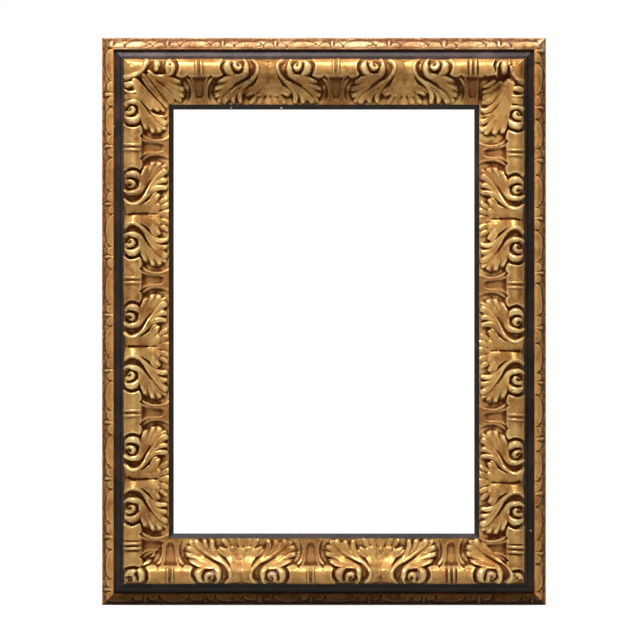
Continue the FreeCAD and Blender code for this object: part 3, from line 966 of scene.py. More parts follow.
@dataclass(frozen=True)
class LeftCorner:
    """The leaf that covers the top left corner.

    Its places are (a, b): a from the left and b down, from the outer corner of the roll.
    """

    # where the corner's own carving starts on each rail: (v, distance from the collar)
    reach: ClassVar[dict[str, Profile]] = {
        "top": ((0, 46), (24, 46), (26, 76), (30, 76), (36, 70.5), (44, 59), (54, 47), (63, 38.5),
                (74, 30)),
        "left": ((0, 79), (25, 79), (30, 72), (35, 67), (40, 63), (48, 57.5), (56, 54.5), (66, 53),
                 (74, 54)),
    }
    lip: tuple[float, float] = (41.0, 33.0)     # how far the plain boss runs along the top and the left roll
    top_rail: Forms = (
        Ribbon(((53.6, 2, 4.6, -0.6), (54.8, 9, 5.2, 0.3), (54.4, 16, 4.6, -0.2)), 1.3, 3.4),
        Groove(((52.4, 20, 1.0, 1.0), (53.4, 15.5, 1.0, 1.2), (57.4, 12.8, 1.0, 1.2))),
        Ribbon(((76.4, 4, 8.0, -0.1), (76.4, 13, 8.6, 0.5), (76.4, 21, 6.8, -0.2)), 1.3, 4.2),
        Groove(((76.5, 9.8, 1.7, 3.4), (79.5, 10.2, 1.5, 2.6))),
        # the long rib that closes the leaf beside the top roll
        Ribbon(((42, 21, 3.0, -0.4), (51, 29.0, 4.0, 0.6), (61, 36.6, 4.8, 1.0), (71, 45, 5.2, 1.2),
                (80.5, 55, 5.2, 1.5), (89, 63.6, 4.8, 1.6), (97, 68.6, 3.8, 1.3)), 1.1, 2.4, -0.3),
    )
    mitre: Forms = (
        # the sheet towards the top rail
        Ribbon(((42, 28, 5.5, -0.3), (54, 42, 9.0, 0.1), (65, 55, 11.5, 0.5), (73, 63, 11.0, 0.8)),
               0.6, 3.4),
        Ribbon(((43, 30, 3.6, 0.2), (55, 45, 4.8, 0.7), (66, 59, 5.2, 1.0), (74, 69, 4.4, 0.9)),
               0.9, 2.6, 0.3),
        # the narrow one along the mitre
        Ribbon(((32, 28, 5.0, -0.2), (44, 43, 6.6, 0.3), (55, 57, 7.0, 0.6), (64, 69, 6.2, 0.9),
                (69, 76, 4.8, 1.0)), 0.9, 2.8, -0.3),
        # the broad one towards the left rail, and its tips
        Ribbon(((18, 37, 6.5, -0.6), (27, 50, 10.0, -0.2), (36, 61, 12.5, 0.1), (46, 70, 12.0, 0.5),
                (52, 75, 9.5, 0.8)), 0.9, 4.5),
        Ribbon(((30, 62, 6.0, 0.0), (38, 72, 5.4, 0.6), (44, 80, 4.4, 1.2)), 0.8, 2.8),
        Ribbon(((40, 64, 6.0, 0.3), (50, 74, 5.4, 0.9), (56, 82, 4.4, 1.4)), 0.8, 2.8),
        Ribbon(((50, 66, 4.6, 0.4), (58, 75, 4.6, 1.0), (64.6, 83, 3.8, 1.3)), 0.8, 2.6),
        Groove(((23, 30, 1.4, 1.6), (35, 44, 1.8, 2.6), (48, 58.6, 1.8, 2.6), (59, 71, 1.6, 2.4),
                (70, 84, 1.6, 2.6))),
        Groove(((36, 25, 1.2, 1.2), (48, 40, 1.4, 1.8), (59, 54.6, 1.4, 1.8), (68, 67, 1.4, 2.0),
                (76, 78, 1.5, 2.4))),
        Groove(((50, 89, 1.8, 2.6), (48, 81, 1.3, 1.2), (41, 71, 1.0, 0.5))),
        Groove(((61, 90, 1.8, 2.6), (58.6, 82, 1.3, 1.2), (51, 72, 1.0, 0.5))),
    )
    side_rail: Forms = (
        # the turned-over tip beside the boss, and the ridge below it
        Ribbon(((3, 41, 4.6, -0.6), (11, 40.8, 4.8, 0.0), (18, 42.4, 3.8, -0.4)), 1.2, 3.2),
        Ribbon(((2, 63, 7.5, -1.6), (13, 63.4, 8.0, -1.0), (24, 64, 7.0, -1.2)), 0.6, 3.4),
        Ribbon(((0, 49.4, 2.6, -0.8), (7, 54.0, 2.9, -0.1), (14, 55.0, 3.0, 0.1), (21, 54.6, 2.9, 0.0),
                (28, 58.6, 2.8, -0.2)), 1.0, 2.4),
    )

    def boss(self, panel: Panel, ground: Array) -> None:
        """Leave the plain boss of the corner standing, with its turned lip.

        Args:
            panel: the corner's field.
            ground: height of the ground, which a corner with a cut boss needs.
        """
        a, b = panel.x, panel.y
        reach = (np.clip(a / self.lip[0], 0, None) ** 2.3 + np.clip(b / self.lip[1], 0, None) ** 2.0) ** 0.45
        nearest = np.minimum(a, b)
        rounded = nearest - 2.6 * bell(a - b, 6.0) * eased(nearest, 1.0, 10.0)
        body = roll_height(rounded) - leaf_height(nearest) + 1.0 * bell(reach - 0.9, 0.07)
        body = body - 1.2 * eased(reach, 0.55, 0.8) * (1 - eased(reach, 0.8, 0.92))
        panel.heights += (body - panel.heights) * (1 - eased(reach, 0.985, 1.03))

    def panel(self) -> Panel:
        """Carve the corner.

        Returns:
            Its field of carving.
        """
        panel = Panel((-1.0, -1.0), (134.0, 134.0), 0.35)
        v = np.minimum(panel.x, panel.y)
        ground = ground_height(v) - leaf_height(v)
        panel.heights = ground.copy()
        for forms in (self.mitre, self.side_rail, self.top_rail):
            panel.carve(forms, ground)
        self.boss(panel, ground)
        panel.finish()
        return panel


@dataclass(frozen=True)
class RightCorner(LeftCorner):
    """The leaf that covers the top right corner. Its places run from the right and down."""

    reach: ClassVar[dict[str, Profile]] = {
        "top": ((0, 38), (26, 38), (31, 10), (74, 9)),
        "right": ((0, 78), (24, 78), (27, 44), (31, 26), (40, 22), (74, 21)),
    }
    lip: tuple[float, float] = (27.0, 41.0)
    top_rail: Forms = (
        Ribbon(((31.6, 3, 6.4, -0.4), (33, 13, 7.0, 0.2), (33.6, 21, 5.4, -0.4)), 1.4, 4.0),
        Ribbon(((36, 0, 2.2, -0.4), (41.8, 5, 2.4, 0.1), (45.4, 13, 2.6, 0.4), (46.4, 21, 2.5, 0.2),
                (45.6, 27, 2.2, -0.2)), 0.9, 2.0),
        # leaf under the top roll
        Ribbon(((38, 40, 5, -0.6), (50, 50, 8.5, -0.1), (61, 57, 9.5, 0.3)), 0.5, 3.0),
        Ribbon(((50, 36, 3.4, -1.6), (58, 41, 4.2, -0.9), (65, 44, 3.8, -0.4)), 0.9, 2.2),
        Ribbon(((46, 43.4, 4, -0.4), (56, 50, 4.8, 0.3), (65, 53.4, 4.2, 0.7)), 0.9, 2.2),
        Ribbon(((40, 46, 4, 0.1), (52, 57, 5.2, 0.8), (65, 62.6, 4.4, 1.2)), 0.9, 2.2),
        Groove(((70, 48.6, 1.9, 2.6), (60, 46.4, 1.3, 1.2), (52, 41.6, 1.0, 0.6))),
        Groove(((71, 58, 1.9, 2.6), (60, 55, 1.3, 1.2), (49, 48.6, 1.0, 0.6))),
    )
    mitre: Forms = (
        # the ribs that run to the corner of the sight
        Ribbon(((27, 37, 5.0, -0.2), (39, 51, 7.5, 0.3), (51, 62, 9.0, 0.6), (62, 68, 7.5, 0.8)), 0.7, 3.0),
        Ribbon(((30, 40, 3.2, 0.6), (41, 53.4, 3.8, 1.1), (53, 64.6, 4.2, 1.5), (66.5, 71.4, 3.6, 1.2)),
               1.0, 2.2),
        # the broad sheet beside them
        Ribbon(((21, 42, 6.5, -0.4), (31, 58, 10.5, -0.1), (42, 74, 13.5, 0.3), (53, 85, 12.0, 0.6),
                (58, 88, 10, 0.7)), 0.9, 4.5),
        Ribbon(((29, 42, 3.0, 0.4), (37.5, 56, 3.8, 0.9), (45, 70, 4.4, 1.2), (53, 79.6, 4.6, 1.5),
                (62, 84.4, 4.2, 1.4), (69, 83.6, 3.2, 0.9)), 1.0, 2.2),
        Groove(((33, 42, 1.2, 1.0), (42, 56, 1.3, 1.4), (50, 69, 1.4, 1.6), (59, 76.4, 1.3, 1.4),
                (71, 78.6, 1.4, 1.8))),
        Groove(((27, 46, 1.1, 0.8), (35.5, 62, 1.3, 1.2), (43.6, 76, 1.5, 1.8), (53, 86.4, 1.6, 2.2),
                (63, 90.6, 1.6, 2.2), (74, 90, 1.6, 2.2))),
    )
    side_rail: Forms = (
        # the broad leaf of the right rail, and its tips
        Ribbon(((24, 58, 7.5, -0.5), (30, 76, 10.5, -0.2), (37, 92, 13.0, 0.1), (45, 104, 14.5, 0.4),
                (49, 109, 13, 0.6)), 0.9, 4.5),
        Ribbon(((28, 94, 5.4, -0.3), (32, 107, 5.4, 0.4), (35.6, 119, 4.4, 1.3)), 0.8, 2.8, 0.3),
        Ribbon(((38, 96, 5.6, 0.0), (44, 109, 5.8, 0.8), (49, 120, 4.6, 1.5)), 0.8, 2.8, 0.3),
        Ribbon(((48, 102, 5.2, 0.4), (56, 113, 5.4, 1.0), (62, 121, 4.4, 1.5)), 0.8, 2.8, 0.3),
        Ribbon(((43, 90, 3.4, 0.6), (51, 103, 4.0, 1.2), (60, 112.4, 4.2, 1.6), (69, 117, 3.6, 1.2)),
               1.1, 2.2),
        Ribbon(((47, 88, 3.8, 0.2), (57, 98, 5.0, 0.7), (67, 103.6, 4.8, 1.0)), 0.9, 2.6, 0.2),
        Groove(((42.4, 127, 2.0, 3.0), (40.4, 116, 1.5, 1.8), (35, 100, 1.1, 0.7), (31, 86, 0.8, 0.4))),
        Groove(((56.4, 128, 2.0, 3.0), (52.6, 117, 1.5, 1.8), (44, 103, 1.1, 0.8))),
        Groove(((74, 110.4, 1.7, 2.4), (64, 107.6, 1.4, 1.4), (54, 100, 1.0, 0.6))),
        Groove(((74, 97.6, 1.7, 2.4), (64, 95.6, 1.4, 1.4), (54, 89.6, 1.0, 0.6))),
        # the curls between the boss and the scroll
        Ribbon(((3, 49, 4.6, -1.0), (10, 48.4, 5.0, -0.2), (17, 49.6, 4.4, -0.4), (21, 53, 3.0, -0.8)),
               1.2, 3.2),
        Ribbon(((2, 59.0, 2.8, -0.9), (10, 61.6, 3.0, -0.1), (18, 61.6, 3.0, 0.0), (26, 59.6, 2.8, -0.3)),
               1.0, 2.4),
        Ribbon(((3, 69, 6.5, -1.6), (12, 69.4, 7.0, -0.9), (23, 69, 6.5, -1.0)), 0.7, 3.4),
    )
    # the leaf's tip that turns over on the boss
    volute: Forms = (
        Groove(((12, 33, 1.0, 0.6), (18.6, 31.4, 1.3, 1.2), (23.6, 26, 1.5, 1.8), (25.6, 18, 1.5, 1.8),
                (23.4, 11, 1.3, 1.4), (17, 8.6, 1.1, 1.0), (12.6, 12, 1.0, 0.8), (11, 20, 1.0, 0.6))),
    )

    def boss(self, panel: Panel, ground: Array) -> None:
        """Leave the boss standing, and cut the curl on it."""
        super().boss(panel, ground)
        panel.carve(self.volute, ground)


class Side(Enum):
    """The four rails of the frame."""

    TOP = "top"
    BOTTOM = "bottom"
    LEFT = "left"
    RIGHT = "right"

    @property
    def upright(self) -> bool:
        """Tell whether the rail stands."""
        return self in (Side.LEFT, Side.RIGHT)

    def seed(self, first: int) -> int:
        """Give the rail a seed of its own, for its wanderings."""
        return first + 7 * list(Side).index(self)


@dataclass(frozen=True)
class Rail:
    """One rail's place in the frame.

    Its coordinates are along (from the left or the top end), inward from the frame's outer edge, and
    forward from the back plane, all in mm.
    """

    side: Side
    width: float = FRAME_WIDTH
    height: float = FRAME_HEIGHT
    sharp: float = 78.0         # degrees; a sharper turn keeps its edge in the shading

    @property
    def length(self) -> float:
        """Give the outer length of the rail."""
        return self.height if self.side.upright else self.width

    def mitred(self, inward: Array, step: float) -> tuple[Array, Array]:
        """Lay the columns of a moulding out between its two mitres.

        Args:
            inward: one number per station of the section.
            step: spacing of the columns.

        Returns:
            Each column's share of the way, -1 to 1, and its place along the rail at each station.
        """
        share = np.linspace(-1, 1, int(self.length / step) | 1)
        middle = self.length / 2
        return share, middle + share[None, :] * (middle - inward[:, None])

    def place(self, along: Array, inward: Array, forward: Array) -> Array:
        """Turn rail coordinates into places in the scene.

        Args:
            along: from the left or the top end.
            inward: from the outer edge.
            forward: from the back plane.

        Returns:
            The places, in metres.
        """
        if self.side.upright:
            z = self.height / 2 - along
            x = inward - self.width / 2 if self.side is Side.LEFT else self.width / 2 - inward
        else:
            x = along - self.width / 2
            z = self.height / 2 - inward if self.side is Side.TOP else inward - self.height / 2
        return np.stack([x, -forward, z], axis=-1) * MM

    def mesh(self, name: str, inward: Array, forward: Array, share: Array) -> bpy.types.Mesh:
        """Make the closed mesh of a moulding.

        Args:
            name: name of the mesh.
            inward: surface points, one row per station round the section and one column per step along.
            forward: the same, forward from the back plane.
            share: each column's share of the way between the two mitres, -1 to 1.

        Returns:
            The mesh.
        """
        along = self.length / 2 + share[None, :] * (self.length / 2 - inward)
        places = self.place(along, inward, forward)
        rows, columns = inward.shape
        index = np.arange(rows * columns).reshape(rows, columns)
        following = np.roll(index, -1, axis=0)
        quads = np.stack([index[:, :-1], index[:, 1:], following[:, 1:], following[:, :-1]], axis=-1)
        caps = [index[::-1, 0].tolist(), index[:, -1].tolist()]
        faces = quads.reshape(-1, 4).tolist() + caps
        if self.side in (Side.TOP, Side.RIGHT):
            faces = [face[::-1] for face in faces]
        mesh = bpy.data.meshes.new(name)
        mesh.from_pydata(places.reshape(-1, 3).tolist(), [], faces)
        mesh.validate()
        mesh.polygons.foreach_set("use_smooth", np.ones(len(mesh.polygons), dtype=bool))
        mesh.set_sharp_from_angle(angle=math.radians(self.sharp))
        return mesh


@dataclass(frozen=True)
class Section:
    """The carved stations round a moulding's section, with one number each."""

    v: Array                    # in from the roll's outer edge
    forward: Array              # plain height from the back plane
    out: Array                  # how much of the relief goes outwards
    up: Array                   # how much of it goes forward
    free: Array                 # how much of it is cut at all


@dataclass
class CarvedMoulding:
    """The roll and leaf bed of one rail, carved in relief."""

    rail: Rail
    gold: Finish
    collars: tuple[float, ...]                      # along the rail
    unit: Panel
    corners: dict[Side, tuple[Panel, LeftCorner]]
    step: float = 1.0                               # spacing of the mesh's columns
    flank: tuple[float, ...] = (43.6, 45.8, 48.0)   # forward places of the stations beside the fillet
    roll_stations: int = 22
    bed_stations: int = 65
    crease: tuple[float, float] = (1.6, 2.0)        # depth and reach of the cut at the waist
    saddle: tuple[float, float] = (-1.1, 3.4)       # the same on a level rail, where it is a soft rise
    bead: float = 2.3                               # radius
    bead_spread: float = 4.1                        # from the collar's middle to a bead's
    bead_height: float = 2.4

    @property
    def pitch(self) -> float:
        """Give the distance from one collar to the next."""
        return self.collars[1] - self.collars[0]

    def section(self) -> Section:
        """Lay the stations out, up the roll's outer side, over it and down the leaf bed.

        Returns:
            The stations.
        """
        turn = np.radians(np.linspace(0, 90, self.roll_stations + 1))[:-1]
        beside, over = len(self.flank), self.bed_stations
        bed = np.linspace(ROLL_RADIUS, CARVING, over)
        # the relief is free beside the fillet of the bottom rail, whose outline is scalloped
        lift = (0.6, 0.8, 0.9) if self.rail.side is Side.BOTTOM else (0.0, 0.25, 0.6)
        return Section(
            v=np.concatenate([np.zeros(beside), ROLL_RADIUS - ROLL_RADIUS * np.cos(turn), bed]),
            forward=np.concatenate([self.flank, BOARD + ROLL_AXIS + ROLL_RADIUS * np.sin(turn),
                                    BOARD + leaf_height(bed)]),
            out=np.concatenate([np.ones(beside), np.cos(turn), np.zeros(over)]),
            up=np.concatenate([np.zeros(beside), np.sin(turn), np.ones(over)]),
            free=np.concatenate([lift, np.ones(len(turn) + over)]))

    def unit_relief(self, along: Array, v: Array, seed: int) -> Array:
        """Read the repeating carving, with the small wanderings of hand work.

        Args:
            along: places along the rail.
            v: places in from the roll's outer edge.
            seed: seed of the wanderings.

        Returns:
            The height over the leaf surface.
        """
        waist = HalfUnit.waist
        centre = np.array(self.collars)
        nearest = np.abs(along[..., None] - centre).argmin(axis=-1)
        s = (along - centre[nearest]) * waist / (self.pitch / 2)
        free = eased(np.abs(s), 9, 30)
        depth, reach = self.crease if self.rail.side.upright else self.saddle
        cut = depth * bell(np.abs(s) - waist, reach) * eased(v, 0, 4) * (1 - eased(v, 54, 62))
        wander = Drift(26.0, seed).at(along, v) * 1.3 + Drift(9.0, seed + 5).at(along, v) * 0.4
        sideways = Drift(24.0, seed + 9).at(along, v) * 1.1 * eased(v, 2, 16)
        s = np.abs(s) + wander * free
        s = np.where(s > waist + 2, 2 * waist + 4 - s, s)
        places = np.stack([s, v + sideways * free], axis=-1).reshape(-1, 2)
        deeper = 1.0 + 0.14 * Drift(60.0, seed + 2).at(along, v)
        return self.unit.sample(places, self.unit.heights).reshape(s.shape) * deeper - cut

    def corner_at(self, end: int) -> tuple[Panel, LeftCorner] | None:
        """Find the corner leaf at one end of the rail.

        Args:
            end: 0 at the left or top end, 1 at the other one.

        Returns:
            Its field and its kind, or nothing where the end has none.
        """
        if self.rail.side is Side.TOP:
            return self.corners[Side.LEFT if end == 0 else Side.RIGHT]
        if self.rail.side.upright and end == 0:
            return self.corners[self.rail.side]
        return None

    def relief(self, along: Array, v: Array) -> Array:
        """Read the repeating carving and the corner leaves.

        Args:
            along: places along the rail.
            v: places in from the roll's outer edge.

        Returns:
            The height over the leaf surface.
        """
        height = self.unit_relief(along, v, self.rail.side.seed(11))
        for end, collar in ((0, self.collars[0]), (1, self.collars[-1])):
            corner = self.corner_at(end)
            if corner is None:
                continue
            panel, kind = corner
            out = along - CARVING_START if end == 0 else self.rail.length - CARVING_START - along
            gone = collar - along if end == 0 else along - collar
            places = np.stack([v, out] if self.rail.side.upright else [out, v], axis=-1)
            wander = [Drift(22.0, seed).at(along, v) for seed in (71, 73)]
            places = places + np.stack(wander, axis=-1) * 0.5
            own = panel.sample(places.reshape(-1, 2), panel.heights).reshape(v.shape)
            reach = np.interp(v, *np.array(kind.reach[self.rail.side.value]).T)
            height = height + (own - height) * eased(gone, reach - 1.0, reach + 1.0)
        return height

    def beads(self, along: Array) -> Array:
        """Shape the collars: two beads each, with cuts between and beside them.

        Args:
            along: places along the rail.

        Returns:
            How far they stand out of the roll.
        """
        rise = np.zeros_like(along)
        beside = 2 * self.bead_spread
        for collar in self.collars:
            for offset in (-self.bead_spread, self.bead_spread):
                share = np.clip(1 - ((along - collar - offset) / self.bead) ** 2, 0, 1)
                rise = np.maximum(rise, self.bead_height * np.sqrt(share))
            for offset, width, depth in ((0.0, 1.8, 0.7), (-beside, 1.7, 1.4), (beside, 1.7, 1.4)):
                rise -= depth * np.clip(1 - ((along - collar - offset) / width) ** 2, 0, 1)
        return rise

    def surface(self, section: Section, along: Array, across: Array) -> Array:
        """Put the carving, the collars and the marks of the tools together.

        Args:
            section: the stations.
            along: places along the rail, one row per station.
            across: the same, in from the roll's outer edge.

        Returns:
            The relief over the plain section.
        """
        flank = eased(across, 0, 5)
        relief = self.relief(along, across) * (0.7 + 0.3 * flank)
        relief += self.beads(along) * (1 - eased(across, 28.5, 31.0)) * (0.3 + 0.7 * flank)
        tool = Drift(2.6, 301).at(along, across) * 0.10 + Drift(7.0, 302).at(along, across) * 0.16
        return (relief + tool * (across < CARVING - 0.1)) * section.free[:, None]

    def keep_fields(self, mesh: bpy.types.Mesh, relief: Array, along: Array, across: Array) -> None:
        """Store where the carving is hollow, crested and worn.

        Args:
            mesh: the moulding's mesh.
            relief: the relief over the plain section.
            along: places along the rail, one row per station.
            across: the same, in from the roll's outer edge.
        """
        wide, broad, close = softened(relief, 8.0), softened(relief, 4.0), softened(relief, 1.6)
        apart = np.abs(along[..., None] - np.array(self.collars)).min(axis=-1)
        near, nearest = 1 - eased(apart, 12.0, 19.0), 1 - eased(apart, 5.0, 9.0)
        on_bed = eased(across, 29, 35)
        fields = {
            # hollow darkens the gilding's hollows: toning, and painted shade
            "hollow": np.clip((wide - relief) / 7.0 + (broad - relief) / 4.5 + (close - relief) / 2.0, 0, 1),
            # crest lightens the gilding's crests: burnishing, and painted highlight
            "crest": np.clip((relief - broad) / 3.0 + (relief - close) / 1.8, 0, 1),
            "worn": near * on_bed + 0.5 * nearest * (1 - on_bed),
        }
        for name, values in fields.items():
            keep_field(mesh, name, np.pad(values, ((2, 3), (0, 0))))

    def build(self) -> bpy.types.Object:
        """Cut the moulding, make its mesh and gild it.

        Returns:
            The piece.
        """
        section = self.section()
        inward = CARVING_START + section.v
        share, along = self.rail.mitred(inward, self.step)
        columns = len(share)
        across = np.repeat(section.v[:, None], columns, axis=1)
        relief = self.surface(section, along, across)
        # the flat sides: up beside the frieze, then down to the slip, over its flange and to the boards
        end, low = CARVING_START + CARVING, BOARD + FLANGE_HEIGHT
        before = np.array([[CARVING_START, BOARD], [CARVING_START, BOARD + FILLET]])
        after = np.array([[end, low], [end - FLANGE, low], [end - FLANGE, BOARD]])
        rows_in = np.vstack([np.repeat(before[:, :1], columns, 1),
                             inward[:, None] - relief * section.out[:, None],
                             np.repeat(after[:, :1], columns, 1)])
        rows_fwd = np.vstack([np.repeat(before[:, 1:], columns, 1),
                              relief * section.up[:, None] + section.forward[:, None],
                              np.repeat(after[:, 1:], columns, 1)])
        mesh = self.rail.mesh(f"carved_{self.rail.side.value}", rows_in, rows_fwd, share)
        self.keep_fields(mesh, relief, along, across)
        piece = new_piece(mesh)
        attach(piece, "frame")
        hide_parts(f"carved_moulding_{self.rail.side.value}")
        self.gold.dress(piece)
        return piece


@dataclass
class OuterMoulding:
    """The moulding that falls away to the frame's outer edge, cut with overlapping leaves."""

    rail: Rail
    gold: Finish
    unit: Panel
    start: float                # middle of a repeat, along the rail
    pitch: float = 92.0
    step: float = 0.9           # spacing of the mesh's columns
    stations: int = 28
    last: float = 19.4          # inward place of the last carved station
    thinnest: float = 3.0       # least height over the boards

    # middle, half length and depth of the leaves that hang from the inner edge, and of the scallops that
    # stand on the outer edge
    leaves: ClassVar[tuple[Bow, ...]] = ((0.0, 25.0, 11.6), (34.4, 8.8, 9.4), (-35.6, 8.2, 8.6))
    scallops: ClassVar[tuple[Bow, ...]] = (
        (-34.0, 9.5, 4.6), (-12.0, 10.5, 4.0), (11.5, 10.0, 4.2), (34.5, 9.5, 4.8))
    # the bands between two repeats, and the curl on the long leaf
    cuts: ClassVar[Forms] = (
        Ribbon(((46.5, 4, 2.2, -0.2), (45.4, 10, 2.8, 0.2), (46.2, 17, 2.4, 0.1)), 0.6, 1.8),
        Ribbon(((-45.5, 4, 2.2, -0.2), (-46.6, 10, 2.8, 0.2), (-45.8, 17, 2.4, 0.1)), 0.6, 1.8),
        Groove(((12, 15.8, 0.8, 0.5), (19, 13.6, 1.1, 1.2), (21.8, 10.8, 1.1, 1.3), (20, 8.6, 0.8, 0.8))),
    )

    @staticmethod
    def height(w: Array) -> Array:
        """Give the height of the plain moulding, w mm from the outer edge."""
        share = np.clip(w / EDGE_CREST, 0, 1)
        return EDGE_LOW + (EDGE_CREST - EDGE_LOW) * share + 4 * EDGE_SWELL * share * (1 - share)

    @classmethod
    def panel(cls) -> Panel:
        """Carve one repeat of the leaves. Its places are (s, w): along the rail, and in from the edge.

        Returns:
            Its field of carving.
        """
        panel = Panel((-50.0, -1.0), (50.0, 21.0), 0.25)
        s, w = panel.x, panel.y
        heights = -1.5 + 1.2 * eased(w, 17.0, 18.2) + 0.5 * (1 - eased(w, 0, 2))
        for middle, half, depth in cls.leaves:
            bow = np.sqrt(np.clip(1 - (np.abs(s - middle) / half) ** 2.4, 0, 1))
            inner = w - (17.6 - depth * bow)
            belly = 0.9 * bow * (1 - np.clip((w - 13.5) / 9, -1, 1) ** 2)
            body = -0.3 + belly + 0.55 * bell(inner - 1.5, 0.9)
            cover = eased(inner, -0.3, 0.9) * (bow > 0.02) * (1 - eased(w, 17.2, 18.0))
            heights = heights + (body - heights) * cover
        for middle, half, depth in cls.scallops:
            bow = np.sqrt(np.clip(1 - ((s - middle) / half) ** 2, 0, 1))
            body = -0.6 + 0.7 * bow
            cover = eased(depth * bow - w, -0.3, 0.9) * (bow > 0.02)
            heights = np.maximum(heights, heights + (body - heights) * cover)
        panel.heights = heights
        panel.carve(cls.cuts, heights - 1.0)
        panel.finish()
        return panel

    def surface(self, along: Array, across: Array) -> Array:
        """Read the repeats, with the small wanderings of hand work.

        Args:
            along: places along the rail, one row per station.
            across: the same, in from the outer edge.

        Returns:
            The relief over the plain section.
        """
        seed = self.rail.side.seed(400)
        wander = (Drift(34.0, seed).at(along, across * 0.4) * 5.0
                  + Drift(9.0, seed + 1).at(along, across) * 0.8)
        s = (along - self.start + wander) % self.pitch
        s = np.where(s > self.pitch / 2, s - self.pitch, s)
        places = np.stack([s, across + Drift(24.0, seed + 2).at(along, across) * 1.3], axis=-1)
        relief = self.unit.sample(places.reshape(-1, 2), self.unit.heights).reshape(s.shape)
        relief += Drift(3.0, seed + 3).at(along, across) * 0.18
        return np.minimum(relief, 1.0) * eased(across, -0.4, 1.2) * (1 - 0.9 * eased(across, 17.6, 19.2))

    def build(self) -> bpy.types.Object:
        """Cut the moulding, make its mesh and gild it.

        Returns:
            The piece.
        """
        w = np.linspace(0.0, self.last, self.stations)
        share, along = self.rail.mitred(w, self.step)
        across = np.repeat(w[:, None], len(share), axis=1)
        relief = self.surface(along, across)
        plain = BOARD + np.where(across > EDGE_CREST, EDGE_CREST, self.height(across))
        ahead = np.maximum(plain + relief, BOARD + self.thinnest)
        level = np.ones((1, len(share)))
        rows_in = np.vstack([0 * level, across, EDGE * level, EDGE * level])
        rows_fwd = np.vstack([BOARD * level, ahead, ahead[-1:], BOARD * level])
        mesh = self.rail.mesh(f"outer_{self.rail.side.value}", rows_in, rows_fwd, share)
        broad = softened(relief, 3.0)
        fields = {
            # hollow darkens the gilding's hollows: toning, and painted shade
            "hollow": np.clip((broad - relief) / 1.0, 0, 1),
            # crest lightens the gilding's crests: burnishing, and painted highlight
            "crest": np.clip((relief - broad) / 0.8, 0, 1),
            "worn": eased(across, 0.8, 2.4) * (1 - eased(across, 5.2, 7.6)),
        }
        for name, values in fields.items():
            keep_field(mesh, name, np.vstack([values[:1], values, values[-1:], 0 * level]))
        piece = new_piece(mesh)
        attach(piece, "frame")
        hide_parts(f"outer_moulding_{self.rail.side.value}")
        self.gold.dress(piece)
        return piece


@dataclass(frozen=True)
class Lamp:
    """A soft lamp that looks at the middle of the frame."""

    name: str
    place: tuple[float, float, float]
    size: tuple[float, float]
    power: float                # watts

    def hang(self) -> None:
        """Put the lamp in the scene."""
        light = bpy.data.lights.new(self.name, "AREA")
        light.shape = "RECTANGLE"
        light.size, light.size_y = self.size
        light.energy = self.power
        lamp = bpy.data.objects.new(self.name, light)
        lamp.location = self.place
        aim = -lamp.location
        lamp.rotation_euler = aim.to_track_quat("-Z", "Y").to_euler()
        bpy.context.scene.collection.objects.link(lamp)


